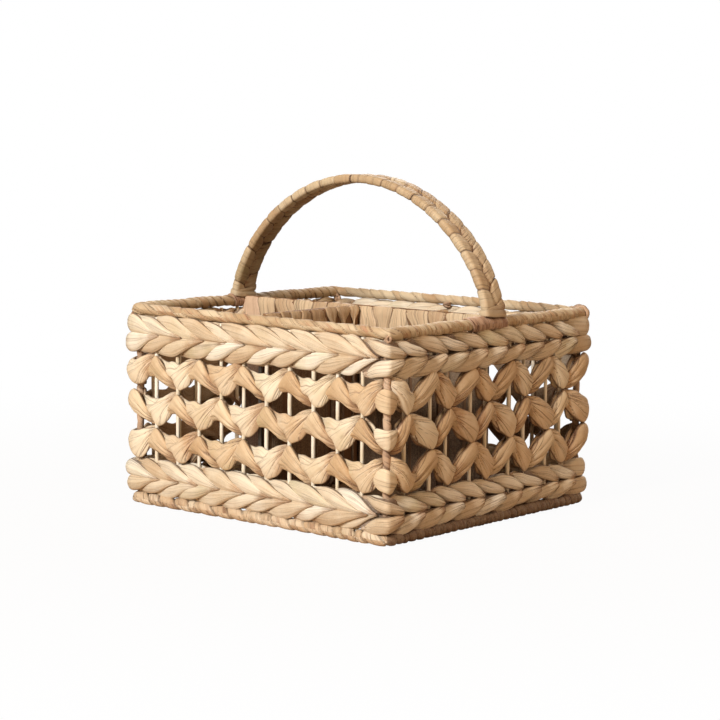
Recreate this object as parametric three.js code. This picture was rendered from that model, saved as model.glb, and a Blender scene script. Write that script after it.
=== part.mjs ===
// Divided basket with a fixed hoop handle: wire frame wrapped in hyacinth strap,
// reed spokes, walls of twined leaf strands, and two crossing wound dividers.
// Millimetres, +Z up, origin on the floor under the middle of the basket.
// The front-left wall faces -Y, the front-right wall faces +X.
import * as THREE from 'three';

// Wire frame
const wallSpanX = 292; // between the centres of the rim rods of the two short sides
const wallSpanY = 271;
const cornerRadius = 10; // of the rod centres, seen from above
const frameWireDiameter = 4;
const rimRodDiameter = 9.2; // over its strap
const baseRodDiameter = 11;
const postWireDiameter = 3.2;
const postDiameter = 6.5;
const wrapSeam = 0.6; // slit where a rod's wrapping starts and ends
const touch = 0.3; // clearance between pieces that touch
const strandClearance = 0.5; // between a strand and the upright it bends round

// Walls, from the base rod up
const bottomBandHeight = 29.2;
const openRowHeight = 32.4;
const openRowCount = 3;
const topBandHeight = 30.7;
const spokeDiameter = 3;
const spokeBendRadius = 3;
const longWallSpokeCount = 10;
const shortWallSpokeCount = 9;
const oddSpokeLean = 6; // odd spokes of the short walls stand this much nearer the front corner
const leafThickness = 3.2; // where a strand passes in front of an upright
const crossingThickness = 2;
const tuckThickness = 1.6; // where it passes behind
const openLeafInset = 7.45; // from either edge of the row, where the upright shows
const openTipWidth = 5;
const openTipInset = 0.7; // from the edge of the row
const openCrossingInset = 1.5;
const strandParting = 1.2; // height between two strands where they cross
const bandLeafInset = 1.3; // from either edge of a band's row
const bandTuckWidth = 3.8;
const bandParting = 0.6; // height between two rows of a band
const footTuckLift = 2; // the lowest strands pass behind above the bends of the spokes
const ridgeShare = 0.4; // flat crown of an open leaf, as a share of its width
const cornerCrossing = 0.3; // share of the way from the end of a corner to the next spoke

// Floor and dividers
const matThickness = 3;
const matInset = 7; // from the middle of the wall
const dividerWireDiameter = 3.2;
const dividerStrapThickness = 2.2;
const dividerStrapGap = 1; // between neighbouring turns
const longDividerTurns = 21;
const crossDividerTurns = 10;
const backDividerDrop = 12; // of its top rail below the rim rod's centre

// Handle
const handleRise = 116.5; // from the rim rod's centre to the middle of the band at the top
const handleSlope = 1.28; // exponent of the arch: 1 is an ellipse, more is straighter legs
const handleWidth = 22.6;
const handleWireDiameter = 3.2;
const handleStrapThickness = 1.45;
const handleStrapSlack = 0.7; // room between a handle wire and the strap round it
const handleStrapGap = 0.9; // between neighbouring turns
const handleTurns = 22;
const lashingThickness = 1.2;
const lashingWidth = 7;
const lashingTurns = 3;

// Facets
const rodSides = 8;
const reedSides = 6;
const handleWireSides = 6;
const handleWireSteps = 26;
const cornerSteps = 2; // round each corner of the frame
const railBendCount = 3; // bends of a divider's strap over a rail
const lobeBend = Math.PI / 4; // between the bends of the handle's strap round a wire
const lashingSides = 8;

// Heights and places worked out from the sizes above
const lashingRoom = lashingThickness + 2 * touch;
const baseRodZ = baseRodDiameter / 2;
const weaveBottom = baseRodDiameter + touch;
const rowsBottom = weaveBottom + bottomBandHeight;
const rowsTop = rowsBottom + openRowCount * openRowHeight;
const weaveTop = rowsTop + topBandHeight;
const rimZ = weaveTop + lashingRoom + rimRodDiameter / 2;
const lowSpokeZ = weaveBottom + spokeDiameter / 2;
const highSpokeZ = lowSpokeZ + spokeDiameter + touch;
const matBottom = highSpokeZ + spokeDiameter / 2 + touch;
const matTop = matBottom + matThickness;
const dividerLoopRadius = dividerWireDiameter / 2 + touch + dividerStrapThickness / 2;
const dividerHalfThickness = dividerLoopRadius + dividerStrapThickness / 2;
const dividerBendReach = dividerLoopRadius / Math.cos(Math.PI / 2 / railBendCount);
const dividerBottomRailZ = matTop + touch + dividerBendReach + dividerStrapThickness / 2;
const lashingLoopRadius = rimRodDiameter / 2 + touch + lashingThickness / 2;
const lashingReach = lashingLoopRadius + lashingThickness / 2;
const handleLoopRadius = handleWireDiameter / 2 + handleStrapSlack + handleStrapThickness / 2;
const handleWireReach = handleWireDiameter / 2 / Math.cos(Math.PI / handleWireSides);
const handleWireY = handleWidth / 2 - handleLoopRadius - handleStrapThickness / 2;

function finish(color, roughness, metalness = 0) {
  return new THREE.MeshStandardMaterial({ color, roughness, metalness });
}

const steelWire = finish(0x6f6a64, 0.5, 0.8);
const rodWrap = finish(0xb08a62, 0.8);
const postWrap = finish(0x7a5234, 0.85);
const reed = finish(0xeadcc0, 0.7);
const paleLeaf = finish(0xd9c09a, 0.8);
const darkLeaf = finish(0xc2a075, 0.8);
const dividerStrap = finish(0x8f6a45, 0.85);
const matStraw = finish(0xa98258, 0.85);

const basket = new THREE.Group();

function add(name, geometry, material) {
  const mesh = new THREE.Mesh(geometry, material);
  mesh.name = name;
  basket.add(mesh);
}

function geometryFrom(points, faces) {
  let volume = 0;
  for (const [a, b, c] of faces) {
    volume += points[a].dot(new THREE.Vector3().crossVectors(points[b], points[c]));
  }
  const index = [];
  for (const [a, b, c] of faces) {
    index.push(...(volume > 0 ? [a, b, c] : [a, c, b]));
  }
  const geometry = new THREE.BufferGeometry().setFromPoints(points);
  geometry.setIndex(index);
  geometry.computeVertexNormals();
  return geometry;
}

// Two triangles between each pair of neighbouring points on two rings of points
function band(faces, from, to, sides, inward = false) {
  for (let i = 0; i < sides; i++) {
    const j = (i + 1) % sides;
    const quad = [[from + i, from + j, to + j], [from + i, to + j, to + i]];
    for (const [a, b, c] of quad) {
      faces.push(inward ? [a, c, b] : [a, b, c]);
    }
  }
}

// A solid skin through rings of points, joined end to end when it closes on itself
function loft(rings, closed = false) {
  const sides = rings[0].length;
  const faces = [];
  const spans = closed ? rings.length : rings.length - 1;
  for (let k = 0; k < spans; k++) {
    band(faces, k * sides, ((k + 1) % rings.length) * sides, sides);
  }
  if (!closed) {
    const last = (rings.length - 1) * sides;
    for (let i = 1; i < sides - 1; i++) {
      faces.push([0, i + 1, i]);
      faces.push([last, last + i, last + i + 1]);
    }
  }
  return geometryFrom(rings.flat(), faces);
}

// A tube with a bore and two open ends
function sleeve(outerRings, innerRings) {
  const sides = outerRings[0].length;
  const inner = outerRings.length * sides;
  const last = (outerRings.length - 1) * sides;
  const faces = [];
  for (let k = 0; k < outerRings.length - 1; k++) {
    band(faces, k * sides, (k + 1) * sides, sides);
    band(faces, inner + k * sides, inner + (k + 1) * sides, sides, true);
  }
  band(faces, inner, 0, sides);
  band(faces, last, inner + last, sides);
  return geometryFrom([...outerRings, ...innerRings].flat(), faces);
}

// A regular polygon whose flats lie at the given distance, with flats across both axes
function polygon(centre, across, up, apothem, sides) {
  const reach = apothem / Math.cos(Math.PI / sides);
  const start = sides % 4 === 0 ? Math.PI / sides : 0;
  const ring = [];
  for (let i = 0; i < sides; i++) {
    const angle = start + (i * 2 * Math.PI) / sides;
    ring.push(centre.clone()
      .addScaledVector(across, reach * Math.cos(angle))
      .addScaledVector(up, reach * Math.sin(angle)));
  }
  return ring;
}

const upward = new THREE.Vector3(0, 0, 1);

// Each wall starts at a corner and runs anticlockwise, seen from above
function wall(fromX, fromY, alongX, alongY, span) {
  return {
    from: new THREE.Vector3(fromX, fromY, 0),
    along: new THREE.Vector3(alongX, alongY, 0),
    out: new THREE.Vector3(alongY, -alongX, 0),
    span,
  };
}

const walls = [
  wall(-wallSpanX / 2, -wallSpanY / 2, 1, 0, wallSpanX),
  wall(wallSpanX / 2, -wallSpanY / 2, 0, 1, wallSpanY),
  wall(wallSpanX / 2, wallSpanY / 2, -1, 0, wallSpanX),
  wall(-wallSpanX / 2, wallSpanY / 2, 0, -1, wallSpanY),
];

// A place on a wall: distance from its first corner, offset outward from its middle, height
function onWall(side, distance, offset, z) {
  return side.from.clone()
    .addScaledVector(side.along, distance)
    .addScaledVector(side.out, offset)
    .setZ(z);
}

// A place on the rounded corner that starts a wall; turn goes from 0 to 1 round the arc
function cornerOut(side, turn) {
  return side.out.clone().applyAxisAngle(upward, ((turn - 1) * Math.PI) / 2);
}

function onCorner(side, turn, offset, z) {
  const centre = side.from.clone()
    .addScaledVector(side.along, cornerRadius)
    .addScaledVector(side.out, -cornerRadius);
  return centre.addScaledVector(cornerOut(side, turn), cornerRadius + offset).setZ(z);
}

// Rods round the basket at one height
function rodStations(z) {
  const stations = [];
  for (const side of walls) {
    for (let i = 0; i <= cornerSteps; i++) {
      const turn = i / cornerSteps;
      stations.push({ at: onCorner(side, turn, 0, z), out: cornerOut(side, turn) });
    }
  }
  return stations;
}

function ringWire(z) {
  const radius = frameWireDiameter / 2;
  return loft(rodStations(z).map((s) => polygon(s.at, s.out, upward, radius, rodSides)), true);
}

// The wrapping starts and ends in the middle of the last wall, at the back
function ringWrap(z, diameter) {
  const back = walls[3];
  const middle = back.span / 2;
  const stations = [
    { at: onWall(back, middle + wrapSeam / 2, 0, z), out: back.out },
    ...rodStations(z),
    { at: onWall(back, middle - wrapSeam / 2, 0, z), out: back.out },
  ];
  const bore = frameWireDiameter / 2 + touch;
  const outer = stations.map((s) => polygon(s.at, s.out, upward, diameter / 2, rodSides));
  const inner = stations.map((s) => polygon(s.at, s.out, upward, bore, rodSides));
  return sleeve(outer, inner);
}

add('rim_wire', ringWire(rimZ), steelWire);
add('rim_wrap', ringWrap(rimZ, rimRodDiameter), rodWrap);
add('base_wire', ringWire(baseRodZ), steelWire);
add('base_wrap', ringWrap(baseRodZ, baseRodDiameter), rodWrap);

// Corner posts stand on the base rod and end under the rim
const cornerNames = ['left', 'front', 'right', 'back'];
const postBottom = baseRodDiameter + touch;
const postTop = rimZ - rimRodDiameter / 2 - touch;

cornerNames.forEach((corner, i) => {
  const side = walls[i];
  const out = cornerOut(side, 0.5);
  const across = out.clone().cross(upward);
  const ends = [postBottom, postTop].map((z) => onCorner(side, 0.5, 0, z));
  const wire = ends.map((p) => polygon(p, out, across, postWireDiameter / 2, rodSides));
  const bore = ends.map((p) => polygon(p, out, across, postWireDiameter / 2 + touch, rodSides));
  const skin = ends.map((p) => polygon(p, out, across, postDiameter / 2, rodSides));
  add(`post_wire_${corner}`, loft(wire), steelWire);
  add(`post_wrap_${corner}`, sleeve(skin, bore), postWrap);
});

// Uprights in the order of the walls: each post, then the spokes of the wall after it
const pitchX = wallSpanX / (longWallSpokeCount + 1);
const pitchY = wallSpanY / (shortWallSpokeCount + 1);

function longWallSpoke(i) {
  return pitchX * i;
}

function shortWallSpoke(i) {
  return pitchY * i - (i % 2 === 1 ? oddSpokeLean : 0);
}

function spokeDistances(wallIndex) {
  const isLong = wallIndex % 2 === 0;
  const count = isLong ? longWallSpokeCount : shortWallSpokeCount;
  const distances = [];
  for (let i = 1; i <= count; i++) {
    distances.push(isLong ? longWallSpoke(i) : shortWallSpoke(i));
  }
  if (wallIndex < 2) {
    return distances;
  }
  return distances.map((d) => walls[wallIndex].span - d).reverse();
}

const uprights = [];
walls.forEach((side, w) => {
  uprights.push({ side, before: walls[(w + walls.length - 1) % walls.length], isPost: true });
  for (const distance of spokeDistances(w)) {
    uprights.push({ side, distance, isPost: false });
  }
});

// Where a line from a point beside a corner has to cross the corner's diagonal
// so that it just clears the post; the point is given from the centre of the arc
function diagonalOffset(x, y, outside) {
  const postAt = cornerRadius * Math.SQRT1_2;
  const toPost = new THREE.Vector2(postAt - x, postAt - y);
  const reach = postDiameter / 2 + strandClearance;
  const swing = Math.asin(Math.min(1, reach / toPost.length()));
  const heading = toPost.angle() + (outside ? -swing : swing);
  const travel = (x - y) / (Math.sin(heading) - Math.cos(heading));
  return Math.SQRT2 * (y + travel * Math.sin(heading)) - cornerRadius;
}

const spokeFace = spokeDiameter / 2 + strandClearance; // where a strand's near side lies at a spoke
const cornerFace = diagonalOffset(cornerRadius + spokeFace, 0, true);

// Strands cross midway between spokes, and nearer the post beside a corner
function crossingDistance(j) {
  const here = uprights[j];
  const next = uprights[(j + 1) % uprights.length];
  const from = here.isPost ? cornerRadius : here.distance;
  const to = next.isPost ? here.side.span - cornerRadius : next.distance;
  let share = 0.5;
  if (here.isPost) {
    share = cornerCrossing;
  } else if (next.isPost) {
    share = 1 - cornerCrossing;
  }
  return from + (to - from) * share;
}

// A leaf's section: sharp upper and lower edge, flat back, and a crown outward
function leafSection(place, low, high, thickness, crown) {
  const middle = (low + high) / 2;
  const half = (crown * (high - low)) / 2;
  const ring = [place(0, low), place(0, high)];
  if (half > 0) {
    ring.push(place(thickness, middle + half));
  }
  ring.push(place(thickness, middle - half));
  return ring;
}

// One strand all the way round. inFront(j) says on which side of upright j it passes,
// atUpright(j) and atCrossing(j) give its lower and upper edge there and just after it
function strand(inFront, atUpright, atCrossing, crown) {
  const rings = [];
  uprights.forEach((upright, j) => {
    const [low, high] = atUpright(j);
    const front = inFront(j);
    const thickness = front ? leafThickness : tuckThickness;
    const put = (place) => rings.push(leafSection(place, low, high, thickness, crown));
    if (!upright.isPost) {
      const back = front ? spokeFace : -spokeFace - thickness;
      put((offset, z) => onWall(upright.side, upright.distance, back + offset, z));
    } else if (front) {
      const arcEnd = upright.before.span - cornerRadius;
      put((offset, z) => onWall(upright.before, arcEnd, spokeFace + offset, z));
      put((offset, z) => onCorner(upright.side, 0.5, cornerFace + offset, z));
      put((offset, z) => onWall(upright.side, cornerRadius, spokeFace + offset, z));
    } else {
      const nearer = Math.min(
        crossingDistance(j),
        upright.before.span - crossingDistance((j + uprights.length - 1) % uprights.length),
      );
      const innerFace = diagonalOffset(cornerRadius, cornerRadius - nearer, false);
      put((offset, z) => onCorner(upright.side, 0.5, innerFace - thickness + offset, z));
    }
    const [crossLow, crossHigh] = atCrossing(j);
    const crossBack = -crossingThickness / 2;
    const distance = crossingDistance(j);
    const placeCrossing = (offset, z) => onWall(upright.side, distance, crossBack + offset, z);
    rings.push(leafSection(placeCrossing, crossLow, crossHigh, crossingThickness, crown));
  });
  return loft(rings, true);
}

// An open row: an upper and a lower strand, each wide in front of every second upright
// and drawn in behind the others, so that holes and crossed tips alternate
function addOpenRow(row) {
  const high = rowsTop - row * openRowHeight;
  const low = high - openRowHeight;
  const middle = (low + high) / 2;
  const upperInFront = (j) => (j + row) % 2 === 0;
  const leaf = [low + openLeafInset, high - openLeafInset];
  const upperTip = [high - openTipInset - openTipWidth, high - openTipInset];
  const lowerTip = [low + openTipInset, low + openTipInset + openTipWidth];
  const upperCrossing = [middle + strandParting / 2, high - openCrossingInset];
  const lowerCrossing = [low + openCrossingInset, middle - strandParting / 2];
  const lowerInFront = (j) => !upperInFront(j);
  const number = row + 1;
  const upper = strand(
    upperInFront,
    (j) => (upperInFront(j) ? leaf : upperTip),
    () => upperCrossing,
    ridgeShare,
  );
  const lower = strand(
    lowerInFront,
    (j) => (lowerInFront(j) ? leaf : lowerTip),
    () => lowerCrossing,
    ridgeShare,
  );
  add(`open_row_${number}_upper_strand`, upper, paleLeaf);
  add(`open_row_${number}_lower_strand`, lower, darkLeaf);
}

// A closed row of a band: one leaf before every upright, leaning down or up to the right
function addBandRow(name, low, height, leansDown, tuckLift) {
  const middle = low + height / 2;
  const leaf = [low + bandLeafInset, low + height - bandLeafInset];
  const tuck = [middle + tuckLift - bandTuckWidth / 2, middle + tuckLift + bandTuckWidth / 2];
  const aboveMiddle = [middle + strandParting / 2, low + height - bandParting / 2];
  const belowMiddle = [low + bandParting / 2, middle - strandParting / 2];
  ['a', 'b'].forEach((letter, parity) => {
    const inFront = (j) => (j + parity) % 2 === 0;
    const afterIsLow = (j) => inFront(j) === leansDown;
    const geometry = strand(
      inFront,
      (j) => (inFront(j) ? leaf : tuck),
      (j) => (afterIsLow(j) ? belowMiddle : aboveMiddle),
      0,
    );
    add(`${name}_strand_${letter}`, geometry, parity === 0 ? paleLeaf : darkLeaf);
  });
}

const topRowHeight = topBandHeight / 2;
const bottomRowHeight = bottomBandHeight / 2;
addBandRow('top_band_upper', rowsTop + topRowHeight, topRowHeight, true, 0);
addBandRow('top_band_lower', rowsTop, topRowHeight, false, 0);
for (let row = 0; row < openRowCount; row++) {
  addOpenRow(row);
}
addBandRow('bottom_band_upper', weaveBottom + bottomRowHeight, bottomRowHeight, true, 0);
addBandRow('bottom_band_lower', weaveBottom, bottomRowHeight, false, footTuckLift);

// A spoke runs down one wall, across the floor and up the wall opposite
function spoke(side, distance, length, floorZ) {
  const inward = side.out.clone().negate();
  const start = onWall(side, distance, 0, 0);
  const profile = [{ reach: 0, z: weaveTop, tilt: 0 }];
  const bendSteps = 2;
  for (let i = 0; i <= bendSteps; i++) {
    const tilt = (i * Math.PI) / 2 / bendSteps;
    const reach = spokeBendRadius * (1 - Math.cos(tilt));
    profile.push({ reach, z: floorZ + spokeBendRadius * (1 - Math.sin(tilt)), tilt });
  }
  const far = profile.map((p) => ({ reach: length - p.reach, z: p.z, tilt: Math.PI - p.tilt }));
  const rings = [...profile, ...far.reverse()].map(({ reach, z, tilt }) => {
    const at = start.clone().addScaledVector(inward, reach).setZ(z);
    const facing = inward.clone().multiplyScalar(Math.cos(tilt));
    facing.addScaledVector(upward, Math.sin(tilt));
    return polygon(at, side.along, facing, spokeDiameter / 2, reedSides);
  });
  return loft(rings);
}

for (let i = 1; i <= longWallSpokeCount; i++) {
  add(`long_wall_spoke_${i}`, spoke(walls[0], longWallSpoke(i), wallSpanY, lowSpokeZ), reed);
}
for (let i = 1; i <= shortWallSpokeCount; i++) {
  add(`short_wall_spoke_${i}`, spoke(walls[1], shortWallSpoke(i), wallSpanX, highSpokeZ), reed);
}

// Floor mat, lying on the spokes
function roundedPlate(halfX, halfY, radius, thickness) {
  const shape = new THREE.Shape();
  shape.moveTo(-halfX + radius, -halfY);
  shape.lineTo(halfX - radius, -halfY);
  shape.absarc(halfX - radius, -halfY + radius, radius, -Math.PI / 2, 0, false);
  shape.lineTo(halfX, halfY - radius);
  shape.absarc(halfX - radius, halfY - radius, radius, 0, Math.PI / 2, false);
  shape.lineTo(-halfX + radius, halfY);
  shape.absarc(-halfX + radius, halfY - radius, radius, Math.PI / 2, Math.PI, false);
  shape.lineTo(-halfX, -halfY + radius);
  shape.absarc(-halfX + radius, -halfY + radius, radius, Math.PI, Math.PI * 1.5, false);
  const settings = { depth: thickness, bevelEnabled: false, curveSegments: cornerSteps };
  return new THREE.ExtrudeGeometry(shape, settings);
}

const matHalfX = wallSpanX / 2 - matInset;
const matHalfY = wallSpanY / 2 - matInset;
const mat = roundedPlate(matHalfX, matHalfY, cornerRadius, matThickness);
mat.translate(0, 0, matBottom);
add('floor_mat', mat, matStraw);

// Least distance between points of a winding whose rings do not belong to the same bend
const bendRings = 5;

function leastGap(rings) {
  const points = [];
  rings.forEach((ring, k) => {
    ring.forEach((p, i) => {
      points.push({ k, p });
      points.push({ k, p: p.clone().lerp(ring[(i + 1) % ring.length], 0.5) });
      if (k + 1 < rings.length) {
        points.push({ k: k + 0.5, p: p.clone().lerp(rings[k + 1][i], 0.5) });
      }
    });
  });
  let least = Infinity;
  for (let a = 0; a < points.length; a++) {
    for (let b = a + 1; b < points.length; b++) {
      if (points[b].k - points[a].k >= bendRings) {
        least = Math.min(least, points[a].p.distanceToSquared(points[b].p));
      }
    }
  }
  return Math.sqrt(least);
}

function addWinding(name, rings, material) {
  console.log(`${name}: least gap to itself ${leastGap(rings).toFixed(2)} mm`);
  add(name, loft(rings), material);
}

// A flat strap's section: wide along one direction, thin along another
const strapCorners = [[-1, -1], [1, -1], [1, 1], [-1, 1]];

function strapSection(at, wide, thin, width, thickness) {
  return strapCorners.map(([w, t]) => at.clone()
    .addScaledVector(wide, (w * width) / 2)
    .addScaledVector(thin, (t * thickness) / 2));
}

// Angles of the bends over a rail, the first half of a turn going over the top
const railBends = [];
for (let i = 0; i < railBendCount; i++) {
  railBends.push(((i + 0.5) * Math.PI) / railBendCount);
}

// A divider: a flat loop of wire with strap wound over its top and bottom rails.
// It runs from one point to another, level, in the plane of those points
function addDivider(name, from, to, turns, topRailZ) {
  const along = to.clone().sub(from).normalize();
  const face = along.clone().cross(upward);
  const length = from.distanceTo(to);
  const wireRadius = dividerWireDiameter / 2;
  const corners = [
    [wireRadius, dividerBottomRailZ], [length - wireRadius, dividerBottomRailZ],
    [length - wireRadius, topRailZ], [wireRadius, topRailZ],
  ];
  const middle = [length / 2, (dividerBottomRailZ + topRailZ) / 2];
  const wireRings = corners.map(([distance, z]) => {
    const at = from.clone().addScaledVector(along, distance).setZ(z);
    const mitre = along.clone().multiplyScalar(Math.sign(distance - middle[0]));
    mitre.addScaledVector(upward, Math.sign(z - middle[1]));
    return polygon(at, face, mitre, wireRadius, rodSides);
  });
  add(`${name}_wire`, loft(wireRings, true), steelWire);

  const strapWidth = (length / turns - dividerStrapGap) / (1 + 1 / turns);
  const advance = (length - strapWidth) / turns;
  const railHeight = topRailZ - dividerBottomRailZ;
  const turnLength = 2 * railHeight + 2 * Math.PI * dividerLoopRadius;
  const bends = [
    ...railBends.map((angle) => ({ angle, z: topRailZ, run: angle * dividerLoopRadius })),
    ...railBends.map((angle) => ({
      angle: angle + Math.PI,
      z: dividerBottomRailZ,
      run: (angle + Math.PI) * dividerLoopRadius + railHeight,
    })),
  ];
  const rings = [];
  for (let turn = 0; turn < turns; turn++) {
    for (const { angle, z, run } of bends) {
      const radial = face.clone().multiplyScalar(Math.cos(angle));
      radial.addScaledVector(upward, Math.sin(angle));
      const distance = strapWidth / 2 + advance * (turn + run / turnLength);
      const at = from.clone().addScaledVector(along, distance).setZ(z);
      at.addScaledVector(radial, dividerBendReach);
      rings.push(strapSection(at, along, radial, strapWidth, dividerStrapThickness));
    }
  }
  addWinding(`${name}_winding`, rings, dividerStrap);
}

const longDividerEnd = wallSpanX / 2 - lashingReach - touch;
const crossDividerStart = dividerHalfThickness + touch;
const crossDividerEnd = wallSpanY / 2 - rimRodDiameter / 2 - touch;
const onX = (x) => new THREE.Vector3(x, 0, 0);
const onY = (y) => new THREE.Vector3(0, y, 0);
const backRailZ = rimZ - backDividerDrop;
addDivider('long_divider', onX(-longDividerEnd), onX(longDividerEnd), longDividerTurns, rimZ);
addDivider('front_divider', onY(-crossDividerStart), onY(-crossDividerEnd), crossDividerTurns, rimZ);
addDivider('back_divider', onY(crossDividerStart), onY(crossDividerEnd), crossDividerTurns, backRailZ);

// Handle arch in the plane of the long divider, standing on the rim rods
const handleFootZ = rimZ + rimRodDiameter / 2 + touch;
const handleArchRise = handleRise - (handleFootZ - rimZ);

class HandleArch extends THREE.Curve {
  getPoint(t, target = new THREE.Vector3()) {
    const angle = Math.PI * t;
    const x = (-wallSpanX / 2) * Math.cos(angle);
    const z = handleFootZ + handleArchRise * Math.sin(angle) ** handleSlope;
    return target.set(x, 0, z);
  }
}

const handleArch = new HandleArch();
const handleLength = handleArch.getLength();
const depthwise = new THREE.Vector3(0, 1, 0);

function onHandle(distance) {
  const share = THREE.MathUtils.clamp(distance / handleLength, 0, 1);
  const at = handleArch.getPointAt(share);
  const along = handleArch.getTangentAt(share);
  if (share === 0 || share === 1) {
    along.set(0, 0, share === 0 ? 1 : -1);
  }
  const out = along.clone().cross(depthwise).negate();
  return { at, along, out };
}

[['front', -1], ['back', 1]].forEach(([name, sign]) => {
  const rings = [];
  for (let i = 0; i <= handleWireSteps; i++) {
    const { at, out } = onHandle((handleLength * i) / handleWireSteps);
    at.addScaledVector(depthwise, sign * handleWireY);
    rings.push(polygon(at, depthwise, out, handleWireDiameter / 2, handleWireSides));
  }
  add(`handle_wire_${name}`, loft(rings), steelWire);
});

// The strap winds in a figure of eight round the two wires. Half a turn is a pass up
// between the wires and round one of them; every pass is pinched between the wires
const pinchPoint = 0.36; // share of the way from the middle to a wire where it spreads
const handleLobeReach = handleLoopRadius / Math.cos(lobeBend / 2);
const lobeAngles = [2, 1, 0, -1, -2].map((n) => n * lobeBend);

function handleHalfTurn(sign) {
  const top = [sign * handleWireY, handleLobeReach];
  const near = [top[0] * pinchPoint, top[1] * pinchPoint];
  const lobe = lobeAngles.map((angle) => [
    sign * (handleWireY + handleLobeReach * Math.cos(angle)),
    handleLobeReach * Math.sin(angle),
  ]);
  return [
    { at: [0, 0], run: 0, pinched: true },
    { at: near, run: 0, pinched: true },
    ...lobe.map((at, i) => ({ at, run: (i + 1) / (lobe.length + 1), pinched: false })),
    { at: [near[0], -near[1]], run: 1, pinched: true },
  ];
}

const handleHalves = [handleHalfTurn(1), handleHalfTurn(-1)];
const handleTurn = handleHalves.flatMap((half, h) => half.map((station) => ({
  ...station,
  run: (h + station.run) / 2,
})));
const handleWindingStart = lashingReach - rimRodDiameter / 2 + touch;
const handleWindingLength = handleLength - 2 * handleWindingStart;
const handlePitch = handleWindingLength / (handleTurns + 1);
const wideStrap = handlePitch - handleStrapGap;
const pinchedStrap = handlePitch / 2 - handleStrapGap;
const handleRings = [];
for (let k = 0; k < handleTurns * handleTurn.length; k++) {
  const here = handleTurn[k % handleTurn.length];
  const next = handleTurn[(k + 1) % handleTurn.length];
  const last = handleTurn[(k + handleTurn.length - 1) % handleTurn.length];
  const turn = Math.floor(k / handleTurn.length) + here.run;
  const distance = handleWindingStart + wideStrap / 2 + handlePitch * turn;
  const heading = new THREE.Vector2(next.at[0] - last.at[0], next.at[1] - last.at[1]).normalize();
  const halfWidth = (here.pinched ? pinchedStrap : wideStrap) / 2;
  const halfThickness = handleStrapThickness / 2;
  handleRings.push(strapCorners.map(([w, t]) => {
    const { at, out } = onHandle(distance + w * halfWidth);
    return at
      .addScaledVector(depthwise, here.at[0] - t * halfThickness * heading.y)
      .addScaledVector(out, here.at[1] + t * halfThickness * heading.x);
  }));
}
addWinding('handle_winding', handleRings, rodWrap);

// Each foot of the handle is lashed to the rim: strap round the rim rod on both sides
// of the wires and between them, stepping from turn to turn under the rod
[['left', -1], ['right', 1]].forEach(([name, sign]) => {
  const rings = [];
  const pitch = handleWireY + handleWireReach + touch + lashingWidth / 2;
  const bendReach = lashingLoopRadius / Math.cos(Math.PI / lashingSides);
  for (let k = 0; k < lashingTurns * lashingSides; k++) {
    const angle = -Math.PI / 2 + ((2 * k + 1) * Math.PI) / lashingSides;
    const turn = Math.floor(k / lashingSides) - (lashingTurns - 1) / 2;
    const radial = new THREE.Vector3(Math.cos(angle), 0, Math.sin(angle));
    const at = new THREE.Vector3((sign * wallSpanX) / 2, turn * pitch, rimZ);
    at.addScaledVector(radial, bendReach);
    rings.push(strapSection(at, depthwise, radial, lashingWidth, lashingThickness));
  }
  addWinding(`handle_lashing_${name}`, rings, rodWrap);
});

export default basket;
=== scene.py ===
# Divided basket: leaf strands twined round reeds on a strapped wire frame,
# two crossing wound dividers, a plaited floor and a hoop handle.
import math

import bpy
import numpy as np
from mathutils import Matrix, Vector


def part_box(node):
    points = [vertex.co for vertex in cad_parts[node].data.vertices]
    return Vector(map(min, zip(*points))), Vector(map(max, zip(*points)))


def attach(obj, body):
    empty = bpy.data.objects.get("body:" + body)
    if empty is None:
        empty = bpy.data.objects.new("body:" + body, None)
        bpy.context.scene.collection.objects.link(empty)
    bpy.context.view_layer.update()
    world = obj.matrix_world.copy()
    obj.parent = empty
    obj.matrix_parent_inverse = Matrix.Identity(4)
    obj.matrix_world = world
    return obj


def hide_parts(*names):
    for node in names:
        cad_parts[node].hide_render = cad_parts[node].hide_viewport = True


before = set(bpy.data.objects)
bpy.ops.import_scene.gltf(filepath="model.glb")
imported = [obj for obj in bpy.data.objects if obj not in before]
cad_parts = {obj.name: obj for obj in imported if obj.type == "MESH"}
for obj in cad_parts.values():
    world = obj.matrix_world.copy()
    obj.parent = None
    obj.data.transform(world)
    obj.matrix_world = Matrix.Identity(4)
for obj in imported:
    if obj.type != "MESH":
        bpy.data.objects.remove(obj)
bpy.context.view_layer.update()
mm = 0.001

# Camera, lights and floor

photo = {
    "width": 720,  # pixels
    "focal": 2090.4,  # pixels
    "sensor": 36,
    "turn": 40.55,  # degrees round the basket
    "tilt": 6.52,
    "roll": 0.49,
    "place": (1.2068, -1.4098, 0.3413),
}
lamps = {
    "key": {"place": (0.2, -2.6, 1.5), "size": 0.7, "power": 99, "colour": (1, 1, 1)},
    "fill": {"place": (1.9, -0.5, 2.3), "size": 0.7, "power": 26, "colour": (1, 0.69, 0.43)},
    "top": {"place": (0.2, 0.4, 2.4), "size": 2.0, "power": 5, "colour": (1, 0.97, 0.93)},
    "back": {"place": (-1.3, 2.3, 1.4), "size": 1.6, "power": 44, "colour": (1, 0.97, 0.93)},
}
studio = {
    "aim": (0, 0, 0.12),
    "ambient": 0.065,
    "ambientColour": (1, 0.75, 0.55, 1),
    "floorSize": 30,
    "floorColour": (0.56, 0.43, 0.31, 1),
    "floorWhite": 0.96,  # share of plain white in what the camera sees of the floor by the basket
    "whiteFrom": 0.25,
    "whiteTo": 0.9,  # metres from the middle, where the floor is all white
}


def clearSelection():
    if bpy.context.object and bpy.context.object.mode != "OBJECT":
        bpy.ops.object.mode_set(mode="OBJECT")
    bpy.ops.object.select_all(action="DESELECT")


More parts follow.
